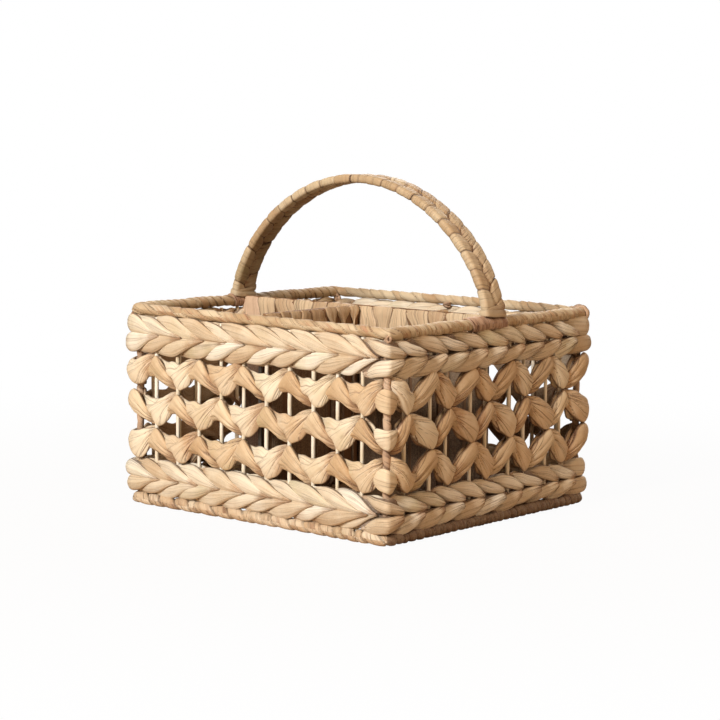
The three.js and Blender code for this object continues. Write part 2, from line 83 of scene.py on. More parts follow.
def addCamera():
    data = bpy.data.cameras.new("camera")
    data.sensor_width = photo["sensor"]
    data.lens = photo["focal"] * photo["sensor"] / photo["width"]
    camera = bpy.data.objects.new("camera", data)
    bpy.context.scene.collection.objects.link(camera)
    facing = Matrix.Rotation(math.radians(photo["turn"]), 4, "Z")
    facing = facing @ Matrix.Rotation(math.radians(90 - photo["tilt"]), 4, "X")
    facing = facing @ Matrix.Rotation(math.radians(photo["roll"]), 4, "Z")
    camera.matrix_world = Matrix.Translation(photo["place"]) @ facing
    bpy.context.scene.camera = camera


def addLamp(name, look):
    clearSelection()
    place = Vector(look["place"])
    bpy.ops.object.light_add(type="AREA", location=place)
    lamp = bpy.context.object
    lamp.name = name + "Lamp"
    lamp.data.size = look["size"]
    lamp.data.energy = look["power"]
    lamp.data.color = look["colour"]
    lamp.rotation_euler = (place - Vector(studio["aim"])).to_track_quat("Z", "Y").to_euler()


# Shader nodes written as sums


class Shade:  # one output of a shader node
    def __init__(self, tree, node, output=0):
        self.tree = tree
        self.node = node
        self.socket = node.outputs[output] if len(node.outputs) else None

    def __getitem__(self, output):
        return Shade(self.tree, self.node, output)

    def maths(self, operation, other=0, turned=False):
        first, second = (other, self) if turned else (self, other)
        return self.tree.make("ShaderNodeMath", {"operation": operation}, {0: first, 1: second})

    def __add__(self, other):
        return self.maths("ADD", other)

    def __sub__(self, other):
        return self.maths("SUBTRACT", other)

    def __rsub__(self, other):
        return self.maths("SUBTRACT", other, True)

    def __mul__(self, other):
        return self.maths("MULTIPLY", other)

    __radd__ = __add__
    __rmul__ = __mul__


class Nodes:  # the node tree of a material or of the world
    def __init__(self, owner):
        owner.use_nodes = True
        self.owner = owner
        self.tree = owner.node_tree
        self.tree.nodes.clear()

    def make(self, kind, settings=None, sockets=None, output=0):
        node = self.tree.nodes.new(kind)
        for name, value in (settings or {}).items():
            setattr(node, name, value)
        for name, value in (sockets or {}).items():
            if isinstance(value, Shade):
                self.tree.links.new(value.socket, node.inputs[name])
            else:
                node.inputs[name].default_value = value
        return Shade(self, node, output)

    def spread(self, value, low, high):  # 0 below low and 1 above high, smooth between
        sockets = {"Value": value, "From Min": low, "From Max": high}
        return self.make("ShaderNodeMapRange", {"interpolation_type": "SMOOTHSTEP"}, sockets)

    def vector(self, x, y, z):
        return self.make("ShaderNodeCombineXYZ", None, {"X": x, "Y": y, "Z": z})

    def noise(self, vector, scale, detail=2, roughness=0.5):
        sockets = {"Vector": vector, "Scale": scale, "Detail": detail, "Roughness": roughness}
        return self.make("ShaderNodeTexNoise", None, sockets)

    def mix(self, share, first, second):
        return self.make("ShaderNodeMix", {"data_type": "RGBA"}, {0: share, 6: first, 7: second}, 2)

    def bump(self, strength, distance, height):
        sockets = {"Strength": strength, "Distance": distance, "Height": height}
        return self.make("ShaderNodeBump", None, sockets)

    def finish(self, sockets):
        surface = self.make("ShaderNodeBsdfPrincipled", None, sockets)
        self.make("ShaderNodeOutputMaterial", None, {"Surface": surface})
        return self.owner


def dried(hexColour):  # a colour as the eye sees it, made linear
    parts = [int(hexColour[i:i + 2], 16) / 255 for i in (0, 2, 4)]
    return tuple(((p + 0.055) / 1.055) ** 2.4 for p in parts) + (1,)


# Dried leaf. The strip map holds the number of the leaf or turn plus the way along it,
# and the way across it from 0 to 1

# dark is the colour of the fine lines and of the painted shade
leafLooks = {
    "pale": {"light": "ebe0cb", "deep": "d1ba98", "dark": "5b361f", "stain": "a87a50", "green": "cbc49c"},
    "tan": {"light": "e3d3b8", "deep": "c6ab88", "dark": "56331d", "stain": "9a6c45", "green": "bdb38a"},
    "rod": {"light": "d2bd9b", "deep": "b3936c", "dark": "5c3822", "stain": "ab7554", "green": "bab089"},
    "handle": {"light": "cdb896", "deep": "ad8e68", "dark": "4f301f", "stain": "96684a", "green": "b0a680"},
    "base": {"light": "dec8a9", "deep": "bd9d78", "dark": "4a2c1b", "stain": "8e6143", "green": "aa9d77"},
    "post": {"light": "d8b899", "deep": "bb9878", "dark": "4c3020", "stain": "8a634a", "green": "a5916a"},
    "divider": {"light": "d4b893", "deep": "b69571", "dark": "3b2214", "stain": "936443", "green": "b3a279"},
    "lashing": {"light": "c8a689", "deep": "a6836a", "dark": "4f3022", "stain": "97705c", "green": "b09b7a"},
    # the lining's dark colours are painted shade, for the shade in the gaps between the straps over it
    "lining": {"light": "86613f", "deep": "664830", "dark": "28180e", "stain": "41291b", "green": "54472f"},
    "mat": {"light": "7e6142", "deep": "5f462b", "dark": "57381f", "stain": "80583a", "green": "94855a"},
}
fibre = {
    "fine": 30,  # lines across a strip
    "coarse": 9,
    "along": 1.3,  # how fast lines change along a strip
    "bump": 0.6,
    "bumpDepth": 1.0 * mm,
    "roughness": 0.62,
}


def leafFinish(name, look, acrossShare=1.0, tipShade=0.8, alongShare=1.0, lines=1.15):
    tree = Nodes(bpy.data.materials.new(name))
    strip = tree.make("ShaderNodeUVMap", {"uv_map": "strip"})
    split = tree.make("ShaderNodeSeparateXYZ", None, {"Vector": strip})
    along = split["X"]
    across = split["Y"]
    fold = tree.make("ShaderNodeAttribute", {"attribute_name": "fold"}, None, "Fac")
    lined = tree.make("ShaderNodeAttribute", {"attribute_name": "lined"}, None, "Fac")
    way = along.maths("FRACT")
    dice = tree.make("ShaderNodeTexWhiteNoise", {"noise_dimensions": "1D"}, {"W": along.maths("FLOOR")})
    chance = tree.make("ShaderNodeSeparateColor", None, {"Color": dice["Color"]})
    shift = dice["Value"] * 37.0
    pulled = along * (fibre["along"] * alongShare)
    fine = tree.noise(tree.vector(pulled, across * (fibre["fine"] * acrossShare), shift), 1.0, 3, 0.6)
    wide = tree.vector(pulled * 0.6, across * (fibre["coarse"] * acrossShare), shift + 9.0)
    coarse = tree.noise(wide, 1.0)
    place = tree.make("ShaderNodeTexCoord")
    patch = tree.noise(place["Object"], 38.0, 3, 0.6)
    grain = tree.noise(place["Object"], 700.0, 2, 0.6)
    light, deep, dark, stained, green = (dried(look[k]) for k in ("light", "deep", "dark", "stain", "green"))
    tone = tree.spread(chance["Red"] * 0.6 + patch * 0.9, 0.3, 1.15)
    colour = tree.mix(tone, light, deep)
    greenish = tree.spread(chance["Green"] * 0.6 + patch * 0.7, 0.8, 1.15) * 0.6
    colour = tree.mix(greenish, colour, green)
    fromMiddle = (way - 0.5).maths("ABSOLUTE") * 2.0
    tip = tree.spread(fromMiddle + (patch - 0.5) * 0.5, 0.35, 1.0)
    stain = tree.spread(chance["Blue"] * 0.5 + patch * 0.6 + tip * 0.6, 0.72, 1.2)
    colour = tree.mix(stain * tipShade, colour, stained)
    broad = tree.spread(coarse, 0.5, 0.72)
    colour = tree.mix(broad * (tip * 0.45 + 0.25), colour, stained)
    line = tree.spread(fine, 0.545, 0.66)
    colour = tree.mix(line * (tip * 0.65 + 0.3) * (lined + lines), colour, dark)
    # painted shade: the fold mark darkens the colour towards the dark one
    colour = tree.mix(tree.spread(fold, 0.15, 1.0) * 0.85, colour, dark)
    colour = tree.mix(tree.spread(grain, 0.4, 0.7) * 0.15, colour, light)
    height = coarse * (tip * 0.9 + 0.5) - line * 0.35 + fine * 0.25 + grain * 0.1
    return tree.finish({
        "Base Color": colour,
        "Roughness": fine * 0.25 + (fibre["roughness"] - 0.12),
        "Specular IOR Level": 0.35,
        "Normal": tree.bump(fibre["bump"], fibre["bumpDepth"], height),
    })


def reedFinish():
    tree = Nodes(bpy.data.materials.new("peeledReed"))
    place = tree.make("ShaderNodeTexCoord")
    stretched = tree.make("ShaderNodeMapping", None, {"Vector": place["Object"], "Scale": (900, 900, 60)})
    grain = tree.noise(stretched, 1.0, 3, 0.6)
    patch = tree.noise(place["Object"], 30.0, 2, 0.5)
    colour = tree.mix(tree.spread(patch, 0.35, 0.7), dried("f3e8d4"), dried("dfcba8"))
    colour = tree.mix(tree.spread(grain, 0.5, 0.75) * 0.35, colour, dried("a9824f"))
    return tree.finish({"Base Color": colour, "Roughness": 0.5, "Normal": tree.bump(0.4, 0.4 * mm, grain)})


def wireFinish():
    tree = Nodes(bpy.data.materials.new("dullWire"))
    place = tree.make("ShaderNodeTexCoord")
    patch = tree.noise(place["Object"], 220.0, 3, 0.6)
    colour = tree.mix(patch, dried("4b443d"), dried("6f675d"))
    return tree.finish({
        "Base Color": colour,
        "Metallic": 0.8,
        "Roughness": patch * 0.3 + 0.35,
        "Normal": tree.bump(0.3, 0.3 * mm, patch),
    })


def stageFinish():
    tree = Nodes(bpy.data.materials.new("stageFloor"))
    rays = tree.make("ShaderNodeLightPath")
    matt = tree.make("ShaderNodeBsdfDiffuse", None, {"Color": studio["floorColour"]})
    white = tree.make("ShaderNodeEmission", None, {"Strength": 1.0})
    place = tree.make("ShaderNodeTexCoord")
    reach = tree.make("ShaderNodeVectorMath", {"operation": "LENGTH"}, {0: place["Object"]}, "Value")
    far = tree.spread(reach, studio["whiteFrom"], studio["whiteTo"])
    seen = rays["Is Camera Ray"] * (far * (1 - studio["floorWhite"]) + studio["floorWhite"])
    surface = tree.make("ShaderNodeMixShader", None, {0: seen, 1: matt, 2: white})
    tree.make("ShaderNodeOutputMaterial", None, {"Surface": surface})
    return tree.owner


def addStage():
    clearSelection()
    bpy.ops.mesh.primitive_plane_add(size=studio["floorSize"])
    floor = bpy.context.object
    floor.name = "floor"
    floor.data.materials.append(stageFinish())
    world = bpy.data.worlds.new("studio")
    bpy.context.scene.world = world
    tree = Nodes(world)
    rays = tree.make("ShaderNodeLightPath")
    seen = rays["Is Camera Ray"].maths("MAXIMUM", rays["Is Glossy Ray"])
    seen = seen.maths("MAXIMUM", rays["Is Transmission Ray"])
    sockets = {"Color": studio["ambientColour"], "Strength": studio["ambient"]}
    soft = tree.make("ShaderNodeBackground", None, sockets)
    white = tree.make("ShaderNodeBackground", None, {"Color": (1, 1, 1, 1)})
    both = tree.make("ShaderNodeMixShader", None, {0: seen, 1: soft, 2: white})
    tree.make("ShaderNodeOutputWorld", None, {"Surface": both})
    bpy.context.scene.view_settings.view_transform = "Standard"


# Shaping helpers. points has a row a step and a column a side; along and across are the strip map,
# fold holds painted shade, darkening creases, seams, gaps and hidden faces, and lined strengthens the lines


def bent(name, points, along, across, fold=None, lined=None):
    clearSelection()
    steps, sides = points.shape[0] - 1, points.shape[1] - 1
    bpy.ops.mesh.primitive_grid_add(x_subdivisions=steps, y_subdivisions=sides, size=1)
    piece = bpy.context.object
    piece.name = piece.data.name = name
    mesh = piece.data
    order = points.transpose(1, 0, 2).reshape(-1, 3)
    mesh.vertices.foreach_set("co", order.astype(np.float32).ravel())
    ends = np.empty(len(mesh.loops), np.int32)
    mesh.loops.foreach_get("vertex_index", ends)
    layer = mesh.uv_layers[0]
    layer.name = "strip"
    strip = np.stack([np.broadcast_to(values, points.shape[:2]).T for values in (along, across)], -1)
    layer.data.foreach_set("uv", strip.reshape(-1, 2)[ends].astype(np.float32).ravel())
    for mark, values in (("fold", fold), ("lined", lined)):
        if values is not None:
            values = np.broadcast_to(values, points.shape[:2]).T.astype(np.float32)
            mesh.attributes.new(mark, "FLOAT", "POINT").data.foreach_set("value", values.ravel())
    mesh.update()
    return piece


def tube(name, points, along, across, fold=None, lined=None, caps=False, ring=False):
    points[:, -1] = points[:, 0]
    if ring:  # its last step meets its first
        points[-1] = points[0]
    piece = bent(name, points, along, across, fold, lined)
    bpy.ops.object.mode_set(mode="EDIT")
    bpy.ops.mesh.select_all(action="SELECT")
    bpy.ops.mesh.remove_doubles(threshold=0.002 * mm)
    bpy.ops.mesh.delete_loose()
    bpy.ops.mesh.select_all(action="SELECT")
    if caps:
        bpy.ops.mesh.fill_holes(sides=0)
        bpy.ops.mesh.select_all(action="SELECT")
    bpy.ops.mesh.normals_make_consistent(inside=False)
    bpy.ops.object.mode_set(mode="OBJECT")
    bpy.ops.object.shade_smooth()
    return piece


def strap(name, points, along, share, fold, thickness):  # share goes from -1 to 1 across it
    piece = bent(name, points, along, (share + 1) / 2, fold)
    wall = piece.modifiers.new("thickness", "SOLIDIFY")
    wall.thickness = thickness
    wall.offset = 0
    bpy.ops.object.modifier_apply(modifier=wall.name)
    bpy.ops.object.shade_smooth_by_angle(angle=math.radians(50))
    return piece


def settle(piece, finish, node):
    piece.data.materials.clear()
    piece.data.materials.append(finish)
    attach(piece, "root")
    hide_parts(node)


def joined(name, pieces):
    clearSelection()
    for piece in pieces:
        piece.select_set(True)
    bpy.context.view_layer.objects.active = pieces[0]
    bpy.ops.object.join()
    pieces[0].name = pieces[0].data.name = name
    return pieces[0]


def through(keys, way):  # a smooth curve through a few points
    x, y = np.array(keys, float).T
    slope = np.gradient(y, x)
    way = np.clip(way, x[0], x[-1])
    i = np.clip(np.searchsorted(x, way) - 1, 0, len(x) - 2)
    width = x[i + 1] - x[i]
    f = (way - x[i]) / width
    start = (1 + 2 * f) * (1 - f) ** 2 * y[i] + f * (1 - f) ** 2 * width * slope[i]
    end = f ** 2 * (3 - 2 * f) * y[i + 1] - f ** 2 * (1 - f) * width * slope[i + 1]
    return start + end


def near(value, place, width):  # 1 at the place, falling away on both sides
    return np.exp(-(((value - place) / width) ** 2))


def fullTurn(steps):
    return np.linspace(0, 2 * math.pi, steps + 1)


def fromEdgeToEdge(columns):  # across a strap
    return np.linspace(-1, 1, columns + 1)


def creases(share, phase, slow, fast, lesser=0.5):
    return np.sin(share * slow + phase) + lesser * np.sin(share * fast + phase)


def varied(dice, most):
    return 1 + most * dice.uniform(-1, 1)


def laid(axis, along, across, z):  # points by their place along one level axis, along the other and up
    level = (along, across) if axis == 0 else (across, along)
    return np.stack(np.broadcast_arrays(*level, z), -1)


# The way round the walls

wall = {"cornerRadius": 10 * mm, "leafSquare": 0.85, "rodSquare": 0.5}  # 1 is a sharp corner
rimLow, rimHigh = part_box("rim_wrap")
rimZ = (rimLow.z + rimHigh.z) / 2
rimRadius = (rimHigh.z - rimLow.z) / 2
halfX = rimHigh.x - rimRadius
halfY = rimHigh.y - rimRadius
corners = np.array([(-halfX, -halfY), (halfX, -halfY), (halfX, halfY), (-halfX, halfY)])
alongs = np.array([(1, 0), (0, 1), (-1, 0), (0, -1)], float)
outs = np.array([(0, -1), (1, 0), (0, 1), (-1, 0)], float)
spans = np.array([halfX, halfY, halfX, halfY]) * 2
halfArc = math.pi * wall["cornerRadius"] / 4
starts = np.concatenate([[0], np.cumsum(spans - 2 * wall["cornerRadius"] + 2 * halfArc)])
roundLength = starts[-1]


def onWall(distance, offset, square=0.0):  # distance from the left post along the walls, offset outwards
    radius = wall["cornerRadius"]
    distance = np.mod(distance, roundLength)
    w = np.clip(np.searchsorted(starts, distance, side="right") - 1, 0, 3)
    local = distance - starts[w]
    straight = spans[w] - 2 * radius
    first = local < halfArc
    last = local > halfArc + straight
    turn = np.where(first, 0.5 + local / (2 * halfArc), (local - halfArc - straight) / (2 * halfArc))
    c = np.where(last, (w + 1) % 4, w)
    angle = (turn - 1) * math.pi / 2
    cos, sin = np.cos(angle), np.sin(angle)
    out = np.stack([outs[c, 0] * cos - outs[c, 1] * sin, outs[c, 0] * sin + outs[c, 1] * cos], -1)
    centre = corners[c] + alongs[c] * radius - outs[c] * radius
    reach = (radius + offset) * (1 + square * (1 / np.maximum(np.abs(cos), np.abs(sin)) - 1))
    onArc = centre + out * reach[..., None]
    flat = corners[w] + alongs[w] * (radius + local - halfArc)[..., None] + outs[w] * offset[..., None]
    return np.where((first | last)[..., None], onArc, flat)


def spokePlaces(kind, count, axis, half):
    places = []
    for i in range(1, count + 1):
        low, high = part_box(f"{kind}_wall_spoke_{i}")
        places.append((low[axis] + high[axis]) / 2 + half)
    return places


longPlaces = spokePlaces("long", 10, 0, halfX)
shortPlaces = spokePlaces("short", 9, 1, halfY)
stations = []  # (distance round the basket, whether it is a corner post)
for w, places in enumerate((longPlaces, shortPlaces, longPlaces, shortPlaces)):
    stations.append((starts[w], True))
    if w > 1:
        places = [spans[w] - p for p in reversed(places)]
    for p in places:
        stations.append((starts[w] + halfArc + p - wall["cornerRadius"], False))
frontPost, rightPost, backPost = [k for k, station in enumerate(stations) if station[1]][1:]


def placeOf(k):  # of any whole k, so counting goes on round the basket
    return stations[k % len(stations)][0] + roundLength * (k // len(stations))


print("walls measured:", len(stations), "uprights")

# Twined strands. A leaf runs from behind one upright, in front of the next, to behind the third;
# way goes from -1 to 1 along it, and heights are shares of the row

rowLeaf = {
    "bulge": 4.6 * mm,
    "pleats": (0.3 * mm, 1.2 * mm),  # depth on its plain half and towards its stem
    "detail": (32, 34, 10),  # steps along, sides in front and sides behind
    "most": 2,  # depth, as in twining
    "square": 0.35,
}
rightLeaf = {  # of the open rows on the walls right of the front corner
    "bulge": 5.4 * mm,
    "square": 0.15,
    "isRight": True,
    "depth": [(-1, -1), (-0.93, -0.5), (-0.82, 0.5), (-0.6, 1.2), (-0.3, 1.35), (0, 1.1), (0.15, 0.8),
              (0.3, 0.1), (0.5, -0.6), (0.75, -0.9), (1, -1)],
}
postLeaf = {  # of the open rows at the front corner
    "bulge": 2.6 * mm,
    "square": 0.85,
    "depth": [(-1, -1), (-0.5, -0.8), (-0.38, 0.1), (-0.24, 0.9), (0, 1.1), (0.24, 0.9), (0.38, 0.1),
              (0.5, -0.8), (1, -1)],
}
cupLeaf = {
    **rowLeaf,
    "top": [(-1, 0.93), (-0.85, 0.83), (-0.65, 0.79), (-0.45, 0.79), (-0.2, 0.8), (0, 0.79), (0.18, 0.77),
            (0.4, 0.82), (0.62, 0.91), (0.85, 0.98), (1, 0.97)],
    "bottom": [(-1, 0.82), (-0.75, 0.52), (-0.45, 0.36), (-0.2, 0.31), (-0.04, 0.24), (0.06, 0.12),
               (0.18, 0.05), (0.4, 0.06), (0.6, 0.14), (0.75, 0.29), (0.86, 0.5), (0.93, 0.74), (1, 0.85)],
    "fold": [(-1, 0.3), (-0.5, 0.42), (-0.2, 0.52), (0, 0.64), (0.2, 0.82), (0.36, 1.02), (0.5, 1.3),
             (1, 1.3)],
    "stem": 0.93,  # height of its gathered end, where the fibres fan out from
}
archLeaf = {
    **rowLeaf,
    "top": [(-1, 0.18), (-0.75, 0.32), (-0.5, 0.46), (-0.3, 0.58), (-0.14, 0.74), (0.03, 0.9), (0.14, 0.94),
            (0.3, 0.87), (0.45, 0.73), (0.6, 0.56), (0.75, 0.4), (0.9, 0.27), (1, 0.19)],
    "bottom": [(-1, 0.05), (-0.75, 0.2), (-0.5, 0.3), (-0.2, 0.34), (0, 0.34), (0.25, 0.29), (0.5, 0.2),
               (0.75, 0.08), (0.9, 0.02), (1, 0.03)],
    "fold": [(-1, 0.65), (-0.5, 0.55), (-0.2, 0.4), (0, 0.22), (0.2, -0.02), (0.35, -0.3), (1, -0.3)],
    "stem": 0.1,
}
cupLeaf["right"] = {
    **rightLeaf,
    "top": [(-1, 1.0), (-0.82, 1.02), (-0.6, 0.98), (-0.4, 0.91), (-0.2, 0.82), (-0.05, 0.74), (0.06, 0.66),
            (0.16, 0.56), (0.28, 0.54), (0.45, 0.64), (0.7, 0.84), (1, 0.98)],
    "bottom": [(-1, 0.86), (-0.92, 0.66), (-0.78, 0.44), (-0.58, 0.25), (-0.35, 0.1), (-0.15, 0.02),
               (0.0, 0.03), (0.1, 0.12), (0.2, 0.3), (0.3, 0.42), (0.6, 0.66), (1, 0.88)],
    "fold": [(-1, 1.3), (-0.2, 1.2), (-0.05, 1.02), (0.06, 0.84), (0.2, 0.6), (0.35, 0.3), (1, 0.2)],
}
archLeaf["right"] = {
    **rightLeaf,
    "top": [(-1, 0.2), (-0.9, 0.34), (-0.75, 0.56), (-0.55, 0.77), (-0.32, 0.92), (-0.12, 1.01), (0.0, 1.03),
            (0.08, 0.98), (0.18, 0.84), (0.3, 0.68), (0.5, 0.45), (0.75, 0.28), (1, 0.2)],
    "bottom": [(-1, 0.06), (-0.85, 0.04), (-0.65, 0.08), (-0.42, 0.2), (-0.2, 0.36), (-0.02, 0.52),
               (0.12, 0.54), (0.28, 0.4), (0.5, 0.2), (0.75, 0.1), (1, 0.05)],
    "fold": [(-1, -0.3), (-0.35, -0.25), (-0.15, 0.0), (0.02, 0.3), (0.2, 0.5), (0.4, 0.65), (1, 0.7)],
}
cupLeaf["post"] = {
    **postLeaf,
    "top": [(-1, 0.95), (-0.6, 0.78), (-0.36, 0.7), (-0.24, 0.74), (-0.05, 0.75), (0.12, 0.75), (0.24, 0.72),
            (0.36, 0.68), (0.6, 0.78), (1, 0.97)],
    "bottom": [(-1, 0.82), (-0.6, 0.6), (-0.36, 0.5), (-0.24, 0.34), (-0.1, 0.2), (0.06, 0.16), (0.2, 0.3),
               (0.34, 0.5), (0.6, 0.66), (1, 0.86)],
    "fold": [(-1, 3), (1, 3)],
}
archLeaf["post"] = {
    **postLeaf,
    "top": [(-1, 0.18), (-0.6, 0.4), (-0.36, 0.52), (-0.24, 0.64), (-0.12, 0.74), (0.08, 0.7), (0.22, 0.62),
            (0.36, 0.46), (0.6, 0.34), (1, 0.19)],
    "bottom": [(-1, 0.05), (-0.6, 0.24), (-0.36, 0.34), (-0.24, 0.24), (-0.06, 0.16), (0.1, 0.1),
               (0.22, 0.2), (0.36, 0.32), (0.6, 0.2), (1, 0.03)],
    "fold": [(-1, -3), (1, -3)],
}
bandLeaf = {
    "top": [(-1, 0.5), (-0.75, 0.7), (-0.5, 0.85), (-0.25, 0.9), (0, 0.9), (0.25, 0.85), (0.5, 0.75),
            (0.72, 0.6), (0.88, 0.48), (1, 0.32)],
    "bottom": [(-1, 0.1), (-0.75, 0.25), (-0.5, 0.3), (-0.25, 0.18), (0, 0.06), (0.25, 0.03), (0.5, 0.02),
               (0.72, 0.02), (0.88, 0.02), (1, 0.03)],
    "fold": [(-1, 3), (1, 3)],
    "bulge": 0.8 * mm,
    "pleats": (0.1 * mm, 0.3 * mm),
    "detail": (16, 10, 6),
    "most": 0.5,
    "square": wall["leafSquare"],
    "turned": False,  # upside down
}
longLeaf = {
    "reach": (-1.3, 1.35),  # pitches from the upright
    "reachJitter": 0.18,
    "top": [(-1.3, 0.8), (-1.05, 0.98), (-0.7, 1.09), (-0.25, 1.1), (0.0, 1.04), (0.2, 0.92), (0.42, 0.73),
            (0.67, 0.51), (0.92, 0.32), (1.15, 0.17), (1.35, 0.05)],
    "bottom": [(-1.3, 0.75), (-1.0, 0.45), (-0.65, 0.18), (-0.25, 0.03), (0.1, -0.05), (0.5, -0.06),
               (0.9, -0.04), (1.35, -0.01)],
    "fullness": [(-1.3, 0.15), (-0.8, 0.55), (-0.3, 0.9), (0.1, 1), (0.5, 0.9), (0.9, 0.65), (1.35, 0.4)],
    "bulge": 4.8 * mm,
    "base": 2.0 * mm,
    "lean": 2.9 * mm,  # outwards a pitch
    "back": 0.6 * mm,
    "pleat": 0.75 * mm,
    "detail": (26, 26, 4),
    "heightJitter": 0.1,
    "lower": 0,  # how much lower the upper row's leaves end, as a share of its height
    "edgeFrom": 0.9,  # where the painted edge shade starts, from the middle
    # painted shade at the leaf's tucked end
    "darkEnd": 0,
    "lined": 0,
}
shortLeaf = {  # on the two short walls
    **longLeaf,
    "reach": (-0.95, 0.6),
    "reachJitter": 0.1,
    "top": [(-0.95, 1.02), (-0.7, 1.12), (-0.35, 1.14), (0, 1.0), (0.25, 0.8), (0.45, 0.6), (0.6, 0.42)],
    "bottom": [(-0.95, 0.88), (-0.7, 0.64), (-0.4, 0.34), (-0.1, 0.12), (0.2, 0.0), (0.45, -0.04),
               (0.6, 0.02)],
    "fullness": [(-0.95, 0.2), (-0.55, 0.65), (-0.1, 1), (0.3, 1.1), (0.5, 1), (0.6, 0.9)],
    "bulge": 5.2 * mm,
    "base": 2.2 * mm,
    "lean": 3.8 * mm,
    "pleat": 0.95 * mm,
    "heightJitter": 0.14,
    "lower": 0.13,
    "edgeFrom": 0.82,
    "darkEnd": 0.9,
    "lined": 0.9,
}
rowTones = {  # of the open rows, deeper than the bands
    "pale": {"light": "e7d7ba", "deep": "caa981"},
    "tan": {"light": "dec7a4", "deep": "bc9970"},
}
beforeCorner = 0.8  # how far a band's last leaf before the front or back corner reaches, in pitches
twining = {
    "reedRadius": 1.5 * mm,
    "postRadius": 3.25 * mm,
    "clearance": 0.2 * mm,
    "back": 0.9 * mm,  # half thickness behind its middle line
    "behind": 1.3 * mm,  # its middle line lies this far behind an upright's back
    "leastBulge": 1.5 * mm,
    "depth": [(-1, -1), (-0.8, -0.85), (-0.5, -0.15), (-0.25, 0.6), (0, 1), (0.3, 1.35), (0.58, 1.25),
              (0.78, 0.65), (0.9, -0.2), (1, -1)],  # 1 in front of the upright, -1 behind it
    "heightJitter": 0.04,
    "bulgeJitter": 0.2,
    "foldStep": 1.1 * mm,
}


def eased(value, low, high):
    share = np.clip((value - low) / (high - low), 0, 1)
    return share * share * (3 - 2 * share)


def turnedOver(leaf):
    top = [(x, 1 - y) for x, y in leaf["bottom"]]
    bottom = [(x, 1 - y) for x, y in leaf["top"]]
    return {**leaf, "top": top, "bottom": bottom, "turned": True}


def shapeAt(leaf, j):  # the leaf's own shape in front of upright j
    if "post" not in leaf:
        return leaf
    if j == frontPost:
        return {**leaf, **leaf["post"]}
    return {**leaf, **leaf["right"]} if frontPost < j < backPost else leaf


def leafRound(frontSides, backSides):  # across a leaf's front from its lower edge, then back behind it
    front = np.linspace(0, math.pi, frontSides + 1)
    turn = np.concatenate([front, np.linspace(math.pi, 2 * math.pi, backSides + 1)[1:]])
    isFront = np.sin(turn) > 0.001
    outward = np.where(isFront, 1, -1) * np.abs(np.sin(turn)) ** 0.8
    return -np.cos(turn), isFront, outward


def addLongLeaves(node, turned, parity, rowLow, rowHigh, seed):  # both faces of one strand of a band
    dice = np.random.default_rng(seed + 200)
    fronts = range(parity, len(stations), 2)
    steps, frontSides, backSides = longLeaf["detail"]
    across, isFront, outward = leafRound(frontSides, backSides)
    shape = (2 * len(fronts) * (steps + 1), len(across))
    points = np.zeros((*shape, 3))
    along, fold, lined = np.zeros((3, *shape))
    height = rowHigh - rowLow
    way = np.linspace(0, 1, steps + 1)[:, None]
    ends = np.minimum(1, 6 * np.sqrt(np.maximum(0, way * (1 - way))))
    ends[0] = ends[-1] = 0
    fade = np.sin(math.pi * way)
    tip = eased(np.abs(way - 0.5) * 2, 0.25, 1.0)
    row = 0
    for n, j in enumerate(fronts):
        for face in (1, -1):
            middle = j if face > 0 else j + 1
            places = [placeOf(k) for k in range(middle - 2, middle + 3)]
            middle = middle % len(stations)
            jitter = dice.uniform(-1, 1, 12)
            look = shortLeaf if frontPost <= middle < rightPost or middle >= backPost else longLeaf
            nominal = look["reach"][0] + (look["reach"][1] - look["reach"][0]) * way
            low = look["reach"][0] * (1 + look["reachJitter"] * jitter[0])
            high = look["reach"][1] * (1 + look["reachJitter"] * jitter[1])
            high = min(high, beforeCorner) if middle + 1 in (frontPost, backPost) else high
            reach = low + (high - low) * way
            distance = np.interp(reach, (-2, -1, 0, 1, 2), places)
            top = through(look["top"], nominal) + look["heightJitter"] * jitter[2] * fade
            top = top + 0.02 * np.sin(way * 14 + 6 * jitter[3]) * fade
            bottom = through(look["bottom"], nominal) + look["heightJitter"] * 0.6 * jitter[4] * fade
            top, bottom = (1 - bottom, 1 - top) if turned else (top - look["lower"], bottom)
            centre = rowLow + height * (top + bottom) / 2
            half = height * (top - bottom) / 2 * ends
            bulge = look["bulge"] * (1 + 0.2 * jitter[5]) * through(look["fullness"], nominal) * ends
            spread = across + 0.2 * np.sin(across * 3 + 6 * jitter[6])
            spread = spread + 0.12 * np.sin(way * 5 + 6 * jitter[7])
            wave = np.abs(np.sin(math.pi * (4.0 + 1.4 * jitter[8]) * (spread + 1) / 2 + 3 * jitter[9]))
            pleat = look["pleat"] * (0.35 + 0.65 * tip) * (1 - wave ** 0.7) * np.abs(outward) ** 0.5
            crown = bulge * outward - pleat * ends
            crown = np.where(isFront, crown, look["back"] * ends * outward)
            depth = look["base"] + look["lean"] * reach + 0.25 * mm * jitter[10]
            offset = face * (depth + crown)
            square = wall["leafSquare"] * eased(offset, -2 * mm, 3 * mm)
            here = slice(row, row + steps + 1)
            points[here, :, :2] = onWall(distance, offset, square)
            points[here, :, 2] = centre + half * across
            along[here] = 1000 + (seed % 50) * 50 + 2 * n + (face < 0) + way * 0.998
            # the edges darken, partly as the leaf's own browner edge and partly as painted shade where the
            # leaves meet; the tucked end and the pleat valleys get painted shade
            edge = 0.95 * eased(np.abs(across), look["edgeFrom"], 1.0)
            edge = np.maximum(edge, look["darkEnd"] * eased(way, 0.9, 1))
            valley = near(wave, 0, 0.17) * (0.12 + 0.8 * tip)
            fold[here] = np.where(isFront, np.maximum(valley, edge), 0)
            lined[here] = look["lined"]
            row += steps + 1
    fibres = np.where(isFront, across + 1, 1 - across) / 2
    return tube("long_" + node, points, along, fibres, fold, lined)


